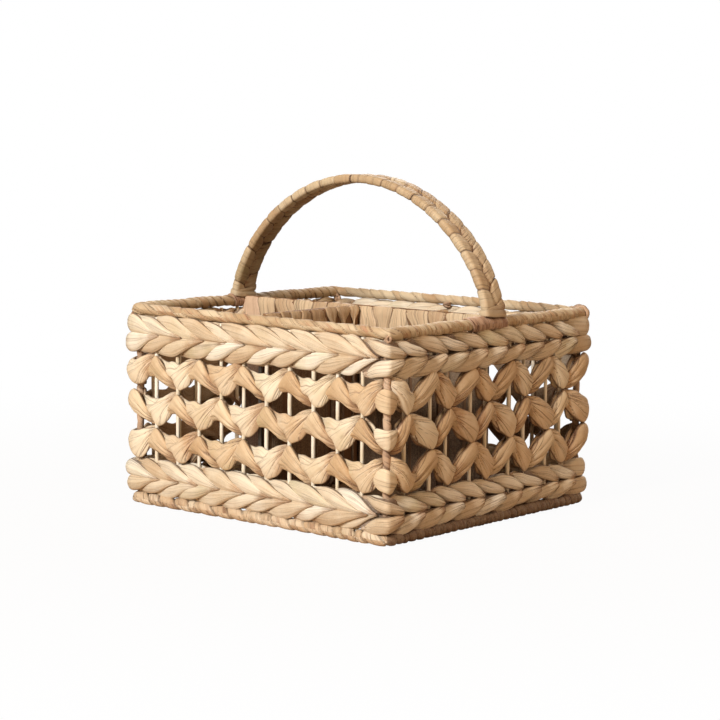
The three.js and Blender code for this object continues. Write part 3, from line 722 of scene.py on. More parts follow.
def addStrand(node, leaf, parity, rowLow, rowHigh, finish, seed):
    dice = np.random.default_rng(seed)
    fronts = range(parity % 2, len(stations), 2)
    perLeaf, frontSides, backSides = leaf["detail"]
    across, isFront, outward = leafRound(frontSides, backSides)
    shape = (perLeaf * len(fronts) + 1, len(across))
    points = np.zeros((*shape, 3))
    along, fibres, fold, lined = np.zeros((4, *shape))
    height = rowHigh - rowLow
    way = np.linspace(-1, 1, perLeaf + 1)[:, None]
    fade = 1 - way ** 2
    common = leaf
    for n, j in enumerate(fronts):
        leaf = shapeAt(common, j)
        isRight = "isRight" in leaf
        stemSide = -1 if isRight else 1
        tip = eased(stemSide * way, -0.15, 0.8)
        before, here, after = (placeOf(k) for k in (j - 1, j, j + 1))
        kinds = ["postRadius" if stations[k % len(stations)][1] else "reedRadius" for k in (j - 1, j, j + 1)]
        backRadius, frontRadius, nextRadius = (twining[kind] + twining["clearance"] for kind in kinds)
        distance = np.where(way < 0, here + way * (here - before), here + way * (after - here))
        jitter = dice.uniform(-1, 1, 12)
        waver = 0.5 * twining["heightJitter"]
        top = through(leaf["top"], way) + twining["heightJitter"] * jitter[0] * fade
        top = top + waver * np.sin(way * 9 + 6 * jitter[6]) * fade
        bottom = through(leaf["bottom"], way) + twining["heightJitter"] * jitter[1] * fade
        bottom = bottom + waver * np.sin(way * 8 + 6 * jitter[7]) * fade
        swing = np.minimum(through(leaf.get("depth", twining["depth"]), way), leaf["most"])
        front = frontRadius + twining["back"]
        behind = -np.where(way < 0, backRadius, nextRadius) - twining["behind"]
        depth = behind + (front - behind) * (swing + 1) / 2 + 0.3 * mm * jitter[2] * fade
        bulge = leaf["bulge"] * (1 + twining["bulgeJitter"] * jitter[3]) - twining["leastBulge"]
        bulge = bulge * fade ** 0.7 + twining["leastBulge"]
        middle = rowLow + height * (top + bottom) / 2
        half = height * (top - bottom) / 2
        crown = np.where(outward > 0, bulge * outward, twining["back"] * outward)
        plain, gathered = leaf["pleats"]
        depthOfPleats = plain + (gathered * (1 + 0.4 * jitter[8]) - plain) * tip
        share = (across + 1) / 2
        line = through(leaf["fold"], way) + 0.05 * jitter[11]
        isCup = min(y for x, y in leaf["fold"]) > 0
        beyond = share - line if isCup else line - share
        fibreAt = share
        if "stem" in leaf:
            sink = (leaf["stem"] - bottom - (top - bottom) * share) * (1 if isCup else -1)
            side = np.abs(stemSide * 0.98 - way) * (after - here) / height
            fibreAt = np.where(beyond > 0, share, 1.3 * np.arctan2(sink, side + 0.04) / math.pi * 2)
        spread = 2 * fibreAt - 1 + 0.1 * np.sin(across * 3 + 6 * jitter[9])
        spread = spread + 0.08 * np.sin(way * 3 + 6 * jitter[10])
        wave = np.abs(np.sin(math.pi * (3.4 + 0.9 * jitter[4]) * (spread + 1) / 2 + 3 * jitter[5]))
        turned = eased(beyond, -0.02, 0.05)  # past the fold, where the leaf's back shows
        pleated = np.where(isFront, 1 - 0.85 * turned, 0)
        crown = crown - pleated * depthOfPleats * (1 - wave ** 0.8) * np.abs(outward) ** 0.5
        # painted shade in the pleat valleys
        valley = pleated * near(wave, 0, 0.2) * (0.12 + 0.88 * tip)
        strength = 0.7 + 0.3 * jitter[8]
        step = np.where(isFront, turned * fade ** 0.5, 0) * strength
        crown = crown - twining["foldStep"] * step * np.minimum(1, crown / (1.2 * mm))
        shade = np.where(isFront, near(beyond, 0.03, 0.045), 0) * strength
        rows = slice(n * perLeaf, (n + 1) * perLeaf + 1)
        offset = depth + crown
        square = leaf["square"] * eased(offset, -2 * mm, 3 * mm)
        points[rows, :, :2] = onWall(distance, offset, square)
        points[rows, :, 2] = middle + half * across
        along[rows] = n + (way + 1) / 2 * 0.998
        fibres[rows] = np.where(isFront, fibreAt, 1 - share)
        # the edges darken, partly as the leaf's own browner fringe and partly as painted shade where the
        # leaves meet; the fold line gets painted shade, a band's core strand is dark all over as painted
        # shade between its leaves, and the backs of the open rows are dark as painted shade inside the
        # basket
        edge = (0.9 if isRight else 0.7) * eased(np.abs(across), 0.87 if isRight else 0.92, 1.0)
        shown = np.maximum(np.maximum(valley, shade * 0.8), edge)
        fold[rows] = 0.85 if "turned" in leaf else np.where(isFront, shown, 0.75)
        lined[rows] = 0.6 if isRight else 0
    along += 100 * (seed % 50)
    piece = tube("twined_" + node, points, along, fibres, fold, lined, ring=True)
    if "turned" in leaf:
        leaves = addLongLeaves(node, leaf["turned"], parity, rowLow, rowHigh, seed)
        piece = joined("twined_" + node, [piece, leaves])
    settle(piece, finish, node)


def addWalls():
    pale, tan = (leafFinish(f"{kind}Leaf", leafLooks[kind], tipShade=0.6, lines=1.45) for kind in rowTones)
    looks = [{**leafLooks[kind], **rowTones[kind]} for kind in rowTones]
    rowPale = leafFinish("rowPaleLeaf", looks[0], tipShade=0.6, lines=1.45)
    rowTan = leafFinish("rowTanLeaf", looks[1], tipShade=0.6, lines=1.45)
    inset = 0.7 * mm
    seed = 1
    for row in (1, 2, 3):
        upper = f"open_row_{row}_upper_strand"
        lower = f"open_row_{row}_lower_strand"
        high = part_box(upper)[1].z + inset
        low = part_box(lower)[0].z - inset
        addStrand(upper, cupLeaf, row - 1, low, high, rowPale, seed)
        addStrand(lower, archLeaf, row, low, high, rowTan, seed + 1)
        seed += 2
    for band in ("top_band", "bottom_band"):
        for level, leaf in (("upper", bandLeaf), ("lower", turnedOver(bandLeaf))):
            for parity, (finish, slot) in enumerate(((pale, "pale_leaf"), (tan, "dark_leaf"))):
                node = f"{band}_{level}_strand_{'ab'[parity]}"
                low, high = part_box(node)
                addStrand(node, leaf, parity, low.z - 0.3 * mm, high.z + 0.3 * mm, finish, seed)
                seed += 1
    print("walls twined")


# Strap wound round a rod. turns counts the strap's edges along the rod

rimStrap = {
    "pitch": (18 * mm, 7 * mm, 14 * mm, 9 * mm),  # one a wall
    "spread": 0.55,
    "lap": 0.9 * mm,
    "bulge": 0.3 * mm,
    "groove": 0.6 * mm,
    "grooveWidth": 0.05,
    "extra": 0.9 * mm,  # fatter on the short walls
    "shade": 0,
    "sag": [(0, 0), (0.5 * starts[1], 0.8), (starts[1] - 14 * mm, 1.3), (starts[1], 2.3),
            (starts[1] + 20 * mm, 2.1), (starts[2], 2.0), (starts[2] + 50 * mm, 0.6),
            (starts[2] + 110 * mm, 0), (roundLength, 0)],  # mm
    "starts": 2,
    "sides": 22,
}
baseStrap = {
    "pitch": (14 * mm, 7 * mm, 12 * mm, 9 * mm),
    "spread": 0.6,
    "lap": 0.9 * mm,
    "bulge": 0.9 * mm,
    "groove": 1.5 * mm,
    "grooveWidth": 0.07,
    "extra": 0,
    "shade": 0.8,  # painted shade on the short walls
    "sag": [(0, 0)],
    "starts": 1,
    "sides": 22,
}
postStrap = {
    "pitch": (10 * mm,),
    "spread": 0.4,
    "lap": 0.5 * mm,
    "bulge": 0.3 * mm,
    "groove": 0.7 * mm,
    "grooveWidth": 0.09,
    "starts": 1,
    "sides": 16,
}
strapStep = 0.75 * mm


def strapWound(length, look, dice, closed):
    places = []
    here = 0.0
    while here < length:
        side = int(np.searchsorted(starts, here, side="right") - 1) % 4
        pitch = look["pitch"][side % len(look["pitch"])]
        places.append(here)
        here += pitch * varied(dice, look["spread"])
    turns = len(places)
    edges = np.array(places + [here]) * length / here
    distance = np.linspace(0, length, int(length / strapStep) + 1)
    count = np.interp(distance, edges, np.arange(turns + 1))
    angle = fullTurn(look["sides"])
    phase = count[:, None] + look["starts"] * angle / (2 * math.pi)
    phase = phase + 0.04 * np.sin(2 * angle + 5 * np.floor(phase)) * np.sin(angle / 2)
    turn = np.floor(phase).astype(int)
    along = turn + angle / (2 * math.pi) * 0.999
    part = phase - turn
    turn = turn % turns if closed else turn
    fat = dice.uniform(-1, 1, turns + look["starts"] + 2)
    groove = near(np.minimum(part, 1 - part), 0, look["grooveWidth"]) * (0.7 + 0.5 * fat[turn])
    rise = look["lap"] * (part ** 1.5 - 0.5) + look["bulge"] * (np.sin(math.pi * part) - 0.6)
    rise = rise - look["groove"] * groove + 0.2 * mm * fat[turn]
    return distance, angle, along, part, rise, groove


def addRod(name, node, look, finish, seed):
    dice = np.random.default_rng(seed)
    low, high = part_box(node)
    distance, angle, along, part, rise, groove = strapWound(roundLength, look, dice, True)
    onShort = np.mod(np.searchsorted(starts, distance[:-1], side="right") - 1, 2)
    onShort = np.append(onShort, onShort[0])[:, None]
    ripple = 0.65 + 0.35 * np.sin(distance / (9 * mm))[:, None]
    reach = (high.z - low.z) / 2 + rise - 0.3 * look["bulge"] + onShort * look["extra"] * ripple
    sag = np.interp(distance, *np.array(look["sag"]).T)[:, None] * mm
    points = np.zeros((*reach.shape, 3))
    points[..., :2] = onWall(distance[:, None], reach * np.cos(angle), wall["rodSquare"])
    points[..., 2] = np.maximum((low.z + high.z) / 2 - sag + reach * np.sin(angle), 0.1 * mm)
    # painted shade in the seams between turns, stronger on the short walls, and over the short walls' base
    # rod
    groove = np.minimum(1, groove * (1 + onShort))
    fold = np.maximum(groove * 0.9, onShort * look["shade"])
    settle(tube(name, points, along, part, fold, ring=True), finish, node)


def addPost(corner, number, finish):
    node = f"post_wrap_{corner}"
    low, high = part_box(node)
    dice = np.random.default_rng(60 + number)
    distance, angle, along, part, rise, groove = strapWound(high.z - low.z, postStrap, dice, False)
    reach = (high.x - low.x) / 2 + rise
    centre = (low + high) / 2
    across = centre.y + reach * np.sin(angle)
    points = laid(0, centre.x + reach * np.cos(angle), across, low.z + distance[:, None])
    # painted shade in the seams between turns
    piece = tube("wound_" + node, points, along, part, groove * 0.8, caps=True)
    settle(piece, finish, node)


def loopOf(name, centre, axes, sizes, number):  # a lumpy ring of strap
    wide, tall, thick = np.array(sizes) * mm
    angle = fullTurn(knot["steps"])[:, None]
    around = fullTurn(knot["sides"])
    thick = thick * (1 + 0.22 * np.sin(3 * angle + number))
    first, second = (np.array(axis, float) / np.linalg.norm(axis) for axis in axes)
    outward = np.cos(angle) * first + np.sin(angle) * second
    middle = wide * np.cos(angle) * first + tall * np.sin(angle) * second
    points = centre + middle[:, None] + (thick * np.cos(around))[..., None] * outward[:, None]
    points = points + (thick * np.sin(around))[..., None] * np.cross(first, second)
    # painted shade over the loop, deeper on its sides
    fold = 0.35 + 0.4 * np.cos(around) ** 2
    return tube(name, points, 800 + number + angle / 6.4, around / (2 * math.pi), fold, ring=True)


knot = {
    "outside": 2.6 * mm,  # beyond the corner of the rim, on the slant
    "inside": 6.5 * mm,
    "below": 6.0 * mm,  # the rim's middle
    "outerLoop": (1.6, 2.4, 1.1),  # half width, half height and half thickness in mm, as in all below
    "innerLoop": (1.6, 2.6, 1.9),
    "elbow": ((-5, -0.5, -1.5, 4.8, 4.8), (-2, -1, -2.2, 5.2, 5.4), (0.2, -0.3, -4.2, 4.4, 6.2),
              (-2, -2, -9, 4.6, 4.4), (-2.5, -2.5, -12, 4.0, 4.0)),  # places, widths and heights in mm
    "elbowStrap": 2.0,
    "dividerEnd": (-3.5 * mm, -5.5 * mm, -3.6 * mm),  # from the middle of the back rim
    "tie": ((3.2, 1.8, 1.5), (2.4, 1.6, 1.4)),
    "steps": 28,
    "sides": 10,
}


def addKnots(finish):  # the strap's ends knotted under the rim, inside and outside each corner
    pieces = []
    upward = np.array((0, 0, 1.0))
    for number, (corner, along, out) in enumerate(zip(corners, alongs, outs)):
        diagonal = np.array([*(out - along) / math.sqrt(2), 0])
        axes = (-diagonal[1], diagonal[0], 0), upward
        start = np.array([*corner, rimZ]) - upward * knot["below"]
        outside = start + diagonal * knot["outside"]
        inside = start - diagonal * knot["inside"]
        pieces.append(loopOf(f"knot{number}a", outside, axes, knot["outerLoop"], number))
        pieces.append(loopOf(f"knot{number}b", inside, axes, knot["innerLoop"], number + 7))
    elbow = np.array([halfX, halfY, rimZ])
    for turn, (x, y, z, wide, tall) in enumerate(knot["elbow"]):
        axes = ((1, 0.9, 0.1), upward) if turn < 3 else ((1, 0.9, 0.2), (-0.7, 0.8, 0.3))
        sizes = (wide, tall, knot["elbowStrap"])
        pieces.append(loopOf(f"elbow{turn}", elbow + np.array((x, y, z)) * mm, axes, sizes, 30 + turn))
    tie = np.array([0, halfY, rimZ]) + knot["dividerEnd"]
    first, second = knot["tie"]
    pieces.append(loopOf("tieA", tie, ((1, 0, 0.3), (0, 1, 0)), first, 17))
    pieces.append(loopOf("tieB", tie - upward * mm, ((1, 0.4, -0.6), (0, 0.7, 0.5)), second, 19))
    settle(joined("corner_knots", pieces), finish, "rim_wrap")


def addFrame():
    rod = leafFinish("rodStrap", leafLooks["rod"], 0.35, 0.0, 0.8, 0.7)
    post = leafFinish("postStrap", leafLooks["post"], 0.35, 0.0, 0.8, 0.8)
    addRod("wound_rim", "rim_wrap", rimStrap, rod, 41)
    base = leafFinish("baseStrap", leafLooks["base"], 0.35, 0.0, 0.8, 0.7)
    addRod("wound_base", "base_wrap", baseStrap, base, 42)
    for number, corner in enumerate(("left", "front", "right", "back")):
        addPost(corner, number, post)
    addKnots(post)
    wire = wireFinish()
    for node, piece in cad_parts.items():
        if "_wire" in node:
            piece.data.materials.clear()
            piece.data.materials.append(wire)
    print("rods and posts wound")


# Reeds down one wall, across the floor and up the other

reedLook = {
    "bend": 3 * mm,
    "wander": 0.35 * mm,
    "taper": 0.1,
    "spacing": 9 * mm,  # of the steps up a wall
    "stepsBelow": 12,
    "sides": 10,
}


def addReed(node, axis, finish, seed):
    dice = np.random.default_rng(seed)
    low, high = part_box(node)
    radius = (high[axis] - low[axis]) / 2
    side = (low[axis] + high[axis]) / 2
    near = low[1 - axis] + radius
    far = high[1 - axis] - radius
    floorZ = low.z + radius
    bend = reedLook["bend"]
    rise = np.arange(high.z, floorZ + bend, -reedLook["spacing"])
    run = np.linspace(near + 2 * bend, far - 2 * bend, reedLook["stepsBelow"])
    turns = np.radians([15, 45, 75])
    bendIn = [(near + bend * (1 - math.cos(a)), floorZ + bend * (1 - math.sin(a))) for a in turns]
    path = [(near, z) for z in rise] + bendIn + [(r, floorZ) for r in run]
    path += [(near + far - r, z) for r, z in reversed(bendIn)] + [(far, z) for z in rise[::-1]]
    path = np.array(path)
    count = len(path)
    drift = np.cumsum(dice.normal(0, 1, (count, 2)), 0)
    drift = drift - np.linspace(drift[0], drift[-1], count)
    drift = reedLook["wander"] * drift / max(1, np.abs(drift).max())
    tangent = np.gradient(path, axis=0)
    tangent = tangent / np.linalg.norm(tangent, axis=1)[:, None]
    thick = radius * (1 + reedLook["taper"] * np.sin(np.linspace(0, 9, count) + seed))[:, None]
    normal = np.stack([-tangent[:, 1], tangent[:, 0]], -1) * thick
    angle = fullTurn(reedLook["sides"])
    level, z = (path[:, k:k + 1] + normal[:, k:k + 1] * np.sin(angle) for k in (0, 1))
    points = laid(axis, side + drift[:, :1] + thick * np.cos(angle), level, z)
    along = np.linspace(0, 1, count)[:, None]
    piece = tube("reed_" + node, points, along, angle / (2 * math.pi), caps=True)
    settle(piece, finish, node)


def addReeds():
    finish = reedFinish()
    for i in range(len(longPlaces)):
        addReed(f"long_wall_spoke_{i + 1}", 0, finish, 101 + i)
    for i in range(len(shortPlaces)):
        addReed(f"short_wall_spoke_{i + 1}", 1, finish, 121 + i)
    print("reeds set")


# Dividers: strap wound over a top and a bottom rail

dividerStrap = {
    "widths": ((15 * mm, 27 * mm), (12 * mm, 21 * mm)),  # of the long divider and of the cross dividers
    "neck": (0.82, 0.68),  # width below the top rail, as a share of the width on it
    "neckFrom": 0.5 * mm,
    "neckTo": 13 * mm,  # below the top rail
    "lean": 7.5 * mm,  # of each edge of a strap
    "over": 0.7 * mm,  # every second strap lies this much over its neighbours
    "dome": 1.3 * mm,
    "thickness": 0.9 * mm,
    "crease": 0.4 * mm,
    "puff": 1.0 * mm,
    "inside": 0.5 * mm,  # of the solid's faces
    "railClear": 0.3 * mm,
    "shadeFrom": 14 * mm,  # below the top rail
    "shadeTo": 45 * mm,
    "lining": 1.3 * mm,  # inside the straps
    "liningStep": 1.6 * mm,
    "liningRipple": 0.35 * mm,
    "steps": 84,
    "columns": 14,
}


def roundRails(low, high, axis, run, out):  # up one face, over the top rail, down the other and under
    radius = (high[1 - axis] - low[1 - axis]) / 2 - dividerStrap["inside"] + out
    bottomZ = low.z + radius + dividerStrap["railClear"]
    topZ = high.z - radius - dividerStrap["railClear"]
    gap = topZ - bottomZ
    arc = math.pi * radius
    place = run * (2 * gap + 2 * arc)
    over = np.clip((place - gap) / radius, 0, math.pi)
    under = np.clip((place - 2 * gap - arc) / radius, 0, math.pi)
    up = np.clip(place, 0, gap)
    down = np.clip(place - gap - arc, 0, gap)
    isUnder = place >= 2 * gap + arc
    side = np.where(isUnder, np.cos(under), -np.cos(over))
    height = np.where(isUnder, bottomZ, bottomZ + up - down)
    height = height + radius * (np.sin(over) - np.where(isUnder, np.sin(under), 0))
    return side * radius, height, side, topZ - height


def addDivider(node, axis, start, end, finish, underFinish, seed, endFinish=None):
    dice = np.random.default_rng(seed)
    look = dividerStrap
    low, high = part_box(node)
    middle = (low[1 - axis] + high[1 - axis]) / 2
    widths = []
    while sum(widths) < end - start:
        widths.append(dice.uniform(*look["widths"][axis]))
    widths = np.array(widths) * (end - start) / sum(widths)
    run = np.linspace(0, 1, look["steps"] + 1)
    share = fromEdgeToEdge(look["columns"])
    side, height, face, below = (values[:, None] for values in roundRails(low, high, axis, run, 0))
    draw = eased(below, look["neckFrom"], look["neckTo"])
    # painted shade: the straps darken further below the top rail and at their edges
    shade = 0.9 * eased(below, look["shadeFrom"], look["shadeTo"])
    shade = np.maximum(shade, 0.7 * eased(np.abs(share), 0.86, 1.0))
    pieces = []
    here = start
    for n, width in enumerate(widths):
        neck = 1 - (1 - look["neck"][axis]) * dice.uniform(0.2, 1.3) * draw
        leans = dice.uniform(-1, 1, (2, 2)) * look["lean"]
        left, right = (np.where(face < 0, *pair) * draw * np.abs(face) for pair in leans)
        place = here + width / 2 + share * width / 2 * neck * 0.99
        place = place + left * (1 - share) / 2 + right * (1 + share) / 2
        phase = dice.uniform(0, 6)
        slanted = phase + 2.5 * dice.uniform(-1, 1) * draw
        folds = creases(share, slanted, 4.5 + 2 * dice.uniform(-1, 1), 11)
        rise = look["crease"] * folds * (0.35 + 0.65 * draw) + look["puff"] * (0.45 - np.abs(share) ** 4)
        rise = rise + (look["over"] * (n % 2) - 0.5 * mm) * draw
        lower = look["dome"] * (dice.uniform(0, 1) + 0.5 * share * dice.uniform(-1, 1)) * (1 - draw)
        rise = rise - np.maximum(lower, 0)
        place = np.clip(place, low[axis] - 4 * mm, end + 3 * mm)
        top = height + rise * np.sqrt(np.maximum(0, 1 - face ** 2))
        points = laid(axis, place, middle + side + rise * face, top)
        points[-1] = points[0]
        along = 300 + seed * 40 + n + run[:, None] * 0.99
        # painted shade in the creases too
        fold = np.maximum(near(folds, -1.1, 0.3) * (0.2 + 0.6 * draw), shade)
        pieces.append(strap(f"strap{node}{n}", points, along, share, fold, look["thickness"]))
        here += width
    if endFinish:
        settle(pieces.pop(0), endFinish, node)
    settle(joined("strapped_" + node, pieces), finish, node)
    # a dark lining under the straps, its colour painted shade
    way = np.linspace(start, end, int((end - start) / look["liningStep"]) + 1)[:, None]
    side, height, face, below = roundRails(low, high, axis, run, -look["lining"])
    ripple = look["liningRipple"] * np.sin(way * 900 + 3 * np.sin(way * 130 + seed)) * np.abs(face)
    points = laid(axis, way, middle + side + ripple * np.sign(face), height)
    core = tube("lining_" + node, points, run * 3, way * 60, caps=True)
    settle(core, underFinish, node)


def addDividers():
    finish = leafFinish("dividerLeaf", leafLooks["divider"], 0.6, 0.3, 1.0, 1.5)
    under = leafFinish("dividerShadeLining", leafLooks["lining"], 0.6, 0.3, 1.0)
    low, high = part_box("long_divider_wire")
    first = leafFinish("dividerEnd", leafLooks["post"], 0.6, 0.3, 1.0)
    addDivider("long_divider_winding", 0, low.x - 1 * mm, high.x + 1 * mm, finish, under, 71, first)
    for node, seed in (("front_divider_winding", 72), ("back_divider_winding", 75)):
        low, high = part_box(node)
        addDivider(node, 1, low.y, high.y, finish, under, seed)
    print("dividers wound")


# Handle: strap in a figure of eight round two wires, herringbone on both faces

handle = {
    "slope": 1.28,  # exponent of the arch
    "turns": 22,
    "shift": 2.2 * mm,  # to the right
    "wider": 1.0 * mm,
    "thickness": 0.9 * mm,
    "outerSlant": (2.5 * mm, 6 * mm),  # front and back strap, from the edge to the middle of the outer face
    "innerSlant": (5 * mm, 4 * mm),
    "cornerRadius": 2.4 * mm,
    "thinner": 1.1 * mm,  # the strap's middle line lies this far inside the solid
    "pastMiddle": 3.0 * mm,
    "pointed": 4.2 * mm,  # how much less the strap's edges pass the middle
    "dive": 2.4 * mm,
    "puff": 0.7 * mm,
    "steps": 36,
    "columns": 12,
    "lining": 1.1 * mm,  # below the straps
    "liningDetail": (120, 28),
    "footWrap": 8.5 * mm,
    "footDetail": (48, 8),
}


def handleLine():
    low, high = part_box("handle_winding")
    wireLow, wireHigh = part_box("handle_wire_front")
    halfWidth = (high.y - low.y) / 2 + handle["wider"]
    halfThickness = high.z - wireHigh.z + (wireHigh.y - wireLow.y) / 2 - handle["thinner"]
    rise = high.z - halfThickness - handle["thinner"] - wireLow.z
    t = np.linspace(0, math.pi, 2001)
    x = handle["shift"] - halfX * np.cos(t)
    z = wireLow.z + rise * np.sin(t) ** handle["slope"]
    gone = np.concatenate([[0], np.cumsum(np.hypot(np.diff(x), np.diff(z)))])
    return gone, x, z, halfWidth, halfThickness


def onHandle(line, distance, sideways, out):
    gone, x, z = line[:3]
    distance = np.clip(distance, 0, gone[-1])
    step = 0.5 * mm
    ahead = np.clip(distance + step, 0, gone[-1])
    behind = np.clip(distance - step, 0, gone[-1])
    dx = np.interp(ahead, gone, x) - np.interp(behind, gone, x)
    dz = np.interp(ahead, gone, z) - np.interp(behind, gone, z)
    size = np.hypot(dx, dz)
    px = np.interp(distance, gone, x) - dz / size * out
    pz = np.interp(distance, gone, z) + dx / size * out
    return laid(0, px, sideways, pz)


def handleFrame(line):  # half the band's outline, from the outer middle round the edge to the inner one
    halfWidth, halfThickness = line[3:]
    radius = handle["cornerRadius"]
    outline = [(-handle["pastMiddle"], halfThickness - handle["dive"]),
               (0.2 * mm, halfThickness - handle["dive"] * 0.45),
               (3 * mm, halfThickness - 0.1 * mm), (halfWidth - radius, halfThickness)]
    outline += [(halfWidth - radius + radius * math.sin(a), halfThickness - radius + radius * math.cos(a))
                for a in np.radians([15, 30, 45, 60, 75, 90])]
    outline = np.array(outline + [(y, -n) for y, n in reversed(outline)])
    gone = np.concatenate([[0], np.cumsum(np.linalg.norm(np.diff(outline, axis=0), axis=1))])
    way = np.linspace(0, 1, handle["steps"] + 1)[:, None]
    return way, *(np.interp(way * gone[-1], gone, values) for values in outline.T)


def addHandle():
    finish = leafFinish("handleLeaf", leafLooks["handle"], 0.6, 0.2, 1.0)
    line = handleLine()
    halfWidth, halfThickness = line[3:]
    pitch = line[0][-1] / handle["turns"]
    dice = np.random.default_rng(90)
    radius = handle["cornerRadius"]
    way, across, out = handleFrame(line)
    share = fromEdgeToEdge(handle["columns"])
    fromEdge = np.clip(1 - across / halfWidth, 0, 2)
    across = across + handle["pointed"] * share ** 2 * np.clip(fromEdge, 0, 1) ** 3
    outwards = np.sign(out) * np.minimum(1, np.abs(out) / (halfThickness - radius))
    edgeways = np.clip((across - halfWidth + radius) / radius, 0, 1)
    pieces = []
    for n in range(handle["turns"] * 2):
        back = n % 2
        slant = np.where(way < 0.5, handle["outerSlant"][back], -handle["innerSlant"][back])
        slant = slant * varied(dice, 0.2)
        centre = pitch * (n / 2 + 0.25 + 0.04 * dice.uniform(-1, 1))
        width = pitch * varied(dice, 0.04)
        distance = centre + slant * fromEdge + share * width / 2
        phase = dice.uniform(0, 6)
        folds = creases(share, phase, 5, 12, 0.6)
        lift = handle["puff"] * (0.35 - np.abs(share) ** 6) + 0.1 * mm * folds
        lift = lift + 0.15 * mm * dice.uniform(-1, 1)
        sideways = (across + lift * edgeways) * (1 if back else -1)
        points = onHandle(line, distance, sideways, out + outwards * lift)
        along = 500 + n + way * 0.998
        # painted shade in the creases and along the strap edges
        fold = np.minimum(1, near(folds, -1.3, 0.3) * 0.4 + eased(np.abs(share), 0.88, 1.0) * 0.9)
        pieces.append(strap(f"handleStrap{n}", points, along, share, fold, handle["thickness"]))
    pieces += footWraps(line)
    settle(joined("wound_handle", pieces), finish, "handle_winding")
    addHandleLining(line)
    print("handle wound")


def boxy(value, power):
    return np.sign(value) * np.abs(value) ** power


def addHandleLining(line):
    steps, sides = handle["liningDetail"]
    angle = fullTurn(sides)
    across = (line[3] - handle["lining"]) * boxy(np.cos(angle), 0.35)
    out = (line[4] - handle["lining"]) * boxy(np.sin(angle), 0.35)
    points = onHandle(line, np.linspace(0, line[0][-1], steps + 1)[:, None], across, out)
    piece = tube("handle_lining", points, angle / 2, np.linspace(0, 8, steps + 1)[:, None], caps=True)
    # its dark colour is painted shade
    finish = leafFinish("handleShadeLining", leafLooks["lining"], 0.6, 0.2, 1.0)
    settle(piece, finish, "handle_winding")


def footWraps(line):  # the strap's level turns at each end of the arch
    length = line[0][-1]
    halfWidth, halfThickness = line[3:]
    steps, columns = handle["footDetail"]
    angle = fullTurn(steps)[:, None]
    across = (halfWidth + 0.6 * mm) * boxy(np.cos(angle), 0.45)
    out = (halfThickness + 1.0 * mm) * boxy(np.sin(angle), 0.45)
    share = fromEdgeToEdge(columns)
    # painted shade along the strap edges
    fold = near(np.abs(share), 1, 0.15) * 0.6
    pieces = []
    for number, (foot, inwards) in enumerate(((0, 1), (length, -1))):
        for turn in range(2):
            middle = handle["footWrap"] * (0.28 + 0.42 * turn + 0.31 * share) - 1.5 * mm
            lean = 2.6 * mm * np.cos(angle) * (1 if turn else -0.6)
            puff = 0.35 * mm * (1 - share ** 2) + 0.3 * mm * (1 - turn)
            wider, thicker = 1 + puff / halfWidth, 1 + puff / halfThickness
            distance = foot + inwards * (middle + lean)
            straight = np.clip(distance, 0, length)
            points = onHandle(line, straight, across * wider, out * thicker)
            points[..., 2] -= np.abs(distance - straight)
            along = 620 + number * 4 + turn + angle / 6.4
            pieces.append(strap(f"footWrap{number}{turn}", points, along, share, fold, handle["thickness"]))
    return pieces


# Lashings at the handle's feet

lashing = {
    "thickness": 1.0 * mm,
    "inside": 0.7 * mm,  # of the solid
    "lean": 2.2 * mm,
    "steps": 40,
    "columns": 8,
    "width": 9.5 * mm,
    "extent": {"left": (-13 * mm, 14 * mm), "right": (-29 * mm, 15 * mm)},  # along the rim
    "drop": {"left": 0, "right": 2 * mm},
}


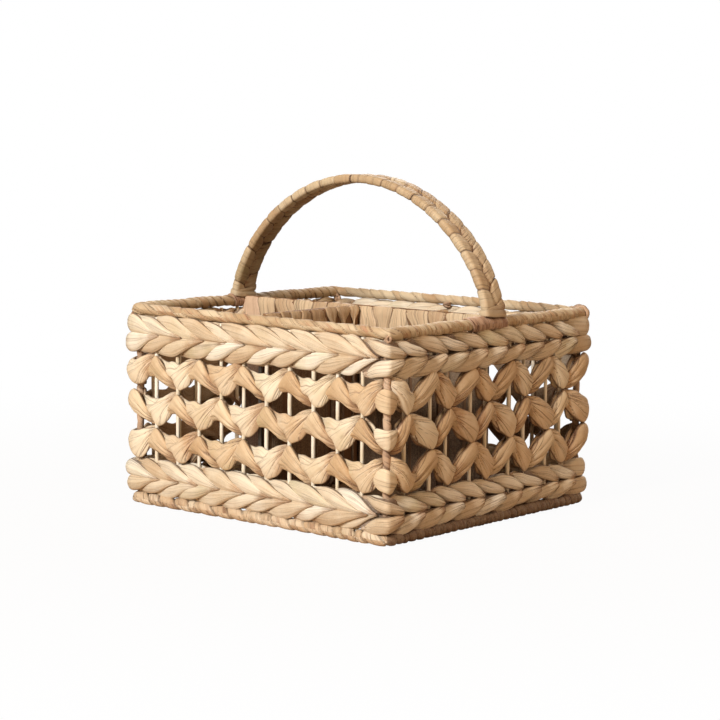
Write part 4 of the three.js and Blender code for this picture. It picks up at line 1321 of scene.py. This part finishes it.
def addLashing(side, sign, finish, seed):
    dice = np.random.default_rng(seed)
    node = f"handle_lashing_{side}"
    low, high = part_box(node)
    share = fromEdgeToEdge(lashing["columns"])
    angle = fullTurn(lashing["steps"])[:, None]
    radius = (high.z - low.z) / 2 - lashing["inside"]
    centreZ = (low.z + high.z) / 2 - lashing["drop"][side]
    start, end = lashing["extent"][side]
    rings = math.ceil((end - start) / (lashing["width"] * 0.72))
    pieces = []
    for ring in range(rings):
        centre = start + (end - start) * (ring + 0.5) / rings
        lean = lashing["lean"] * varied(dice, 0.5)
        width = lashing["width"] * varied(dice, 0.25)
        phase = dice.uniform(0, 6)
        folds = creases(share, phase, 6, 13)
        reach = radius + 0.25 * mm * folds + 0.3 * mm * (ring % 2) + 0.4 * mm * (1 - share ** 2)
        place = centre - lean * np.sin(angle) + share * width / 2
        points = laid(0, sign * halfX + reach * np.cos(angle), place, centreZ + reach * np.sin(angle))
        along = 700 + seed + ring * 2 + angle / 6.5
        # painted shade in the creases
        fold = near(folds, -1.2, 0.3) * 0.7
        pieces.append(strap(f"lashing{side}{ring}", points, along, share, fold, lashing["thickness"]))
    settle(joined(f"wound_lashing_{side}", pieces), finish, node)


def addLashings():
    finish = leafFinish("lashingLeaf", leafLooks["lashing"], 0.5, 0.1, 1.0)
    addLashing("left", -1, finish, 81)
    addLashing("right", 1, finish, 82)
    print("handle lashed")


# Plaited floor

plait = {
    "strip": 11 * mm,
    "filled": 0.97,  # of a strip's pitch
    "thickness": 0.8 * mm,
    "wave": 0.7 * mm,
    "crown": 0.15 * mm,
    "perCrossing": 4,
}


def addFloorMat():
    finish = leafFinish("floorLeaf", leafLooks["mat"], 0.4, 0.0, 1.0)
    low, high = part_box("floor_mat")
    size = (high.x - low.x, high.y - low.y)
    counts = [round(s / plait["strip"]) for s in size]
    widths = [s / c for s, c in zip(size, counts)]
    middle = (low.z + high.z) / 2
    share = np.array([-1, -0.4, 0.4, 1])
    pieces = []
    for axis in (0, 1):
        way = np.linspace(0, counts[axis], counts[axis] * plait["perCrossing"] + 1)[:, None]
        for n in range(counts[1 - axis]):
            strip = low[1 - axis] + (n + 0.5 + share * plait["filled"] / 2) * widths[1 - axis]
            wave = plait["wave"] * np.sin(math.pi * way) * (-1) ** (n + axis)
            z = middle + wave - plait["crown"] * share ** 2
            points = laid(axis, low[axis] + way * widths[axis], strip, z)
            along = 900 + n * 2 + axis * 60 + way * 0.05
            pieces.append(strap(f"plait{axis}{n}", points, along, share, None, plait["thickness"]))
    settle(joined("plaited_floor", pieces), finish, "floor_mat")
    print("floor plaited")


addCamera()
addStage()
for name, look in lamps.items():
    addLamp(name, look)
addWalls()
addFrame()
addReeds()
addDividers()
addHandle()
addLashings()
addFloorMat()
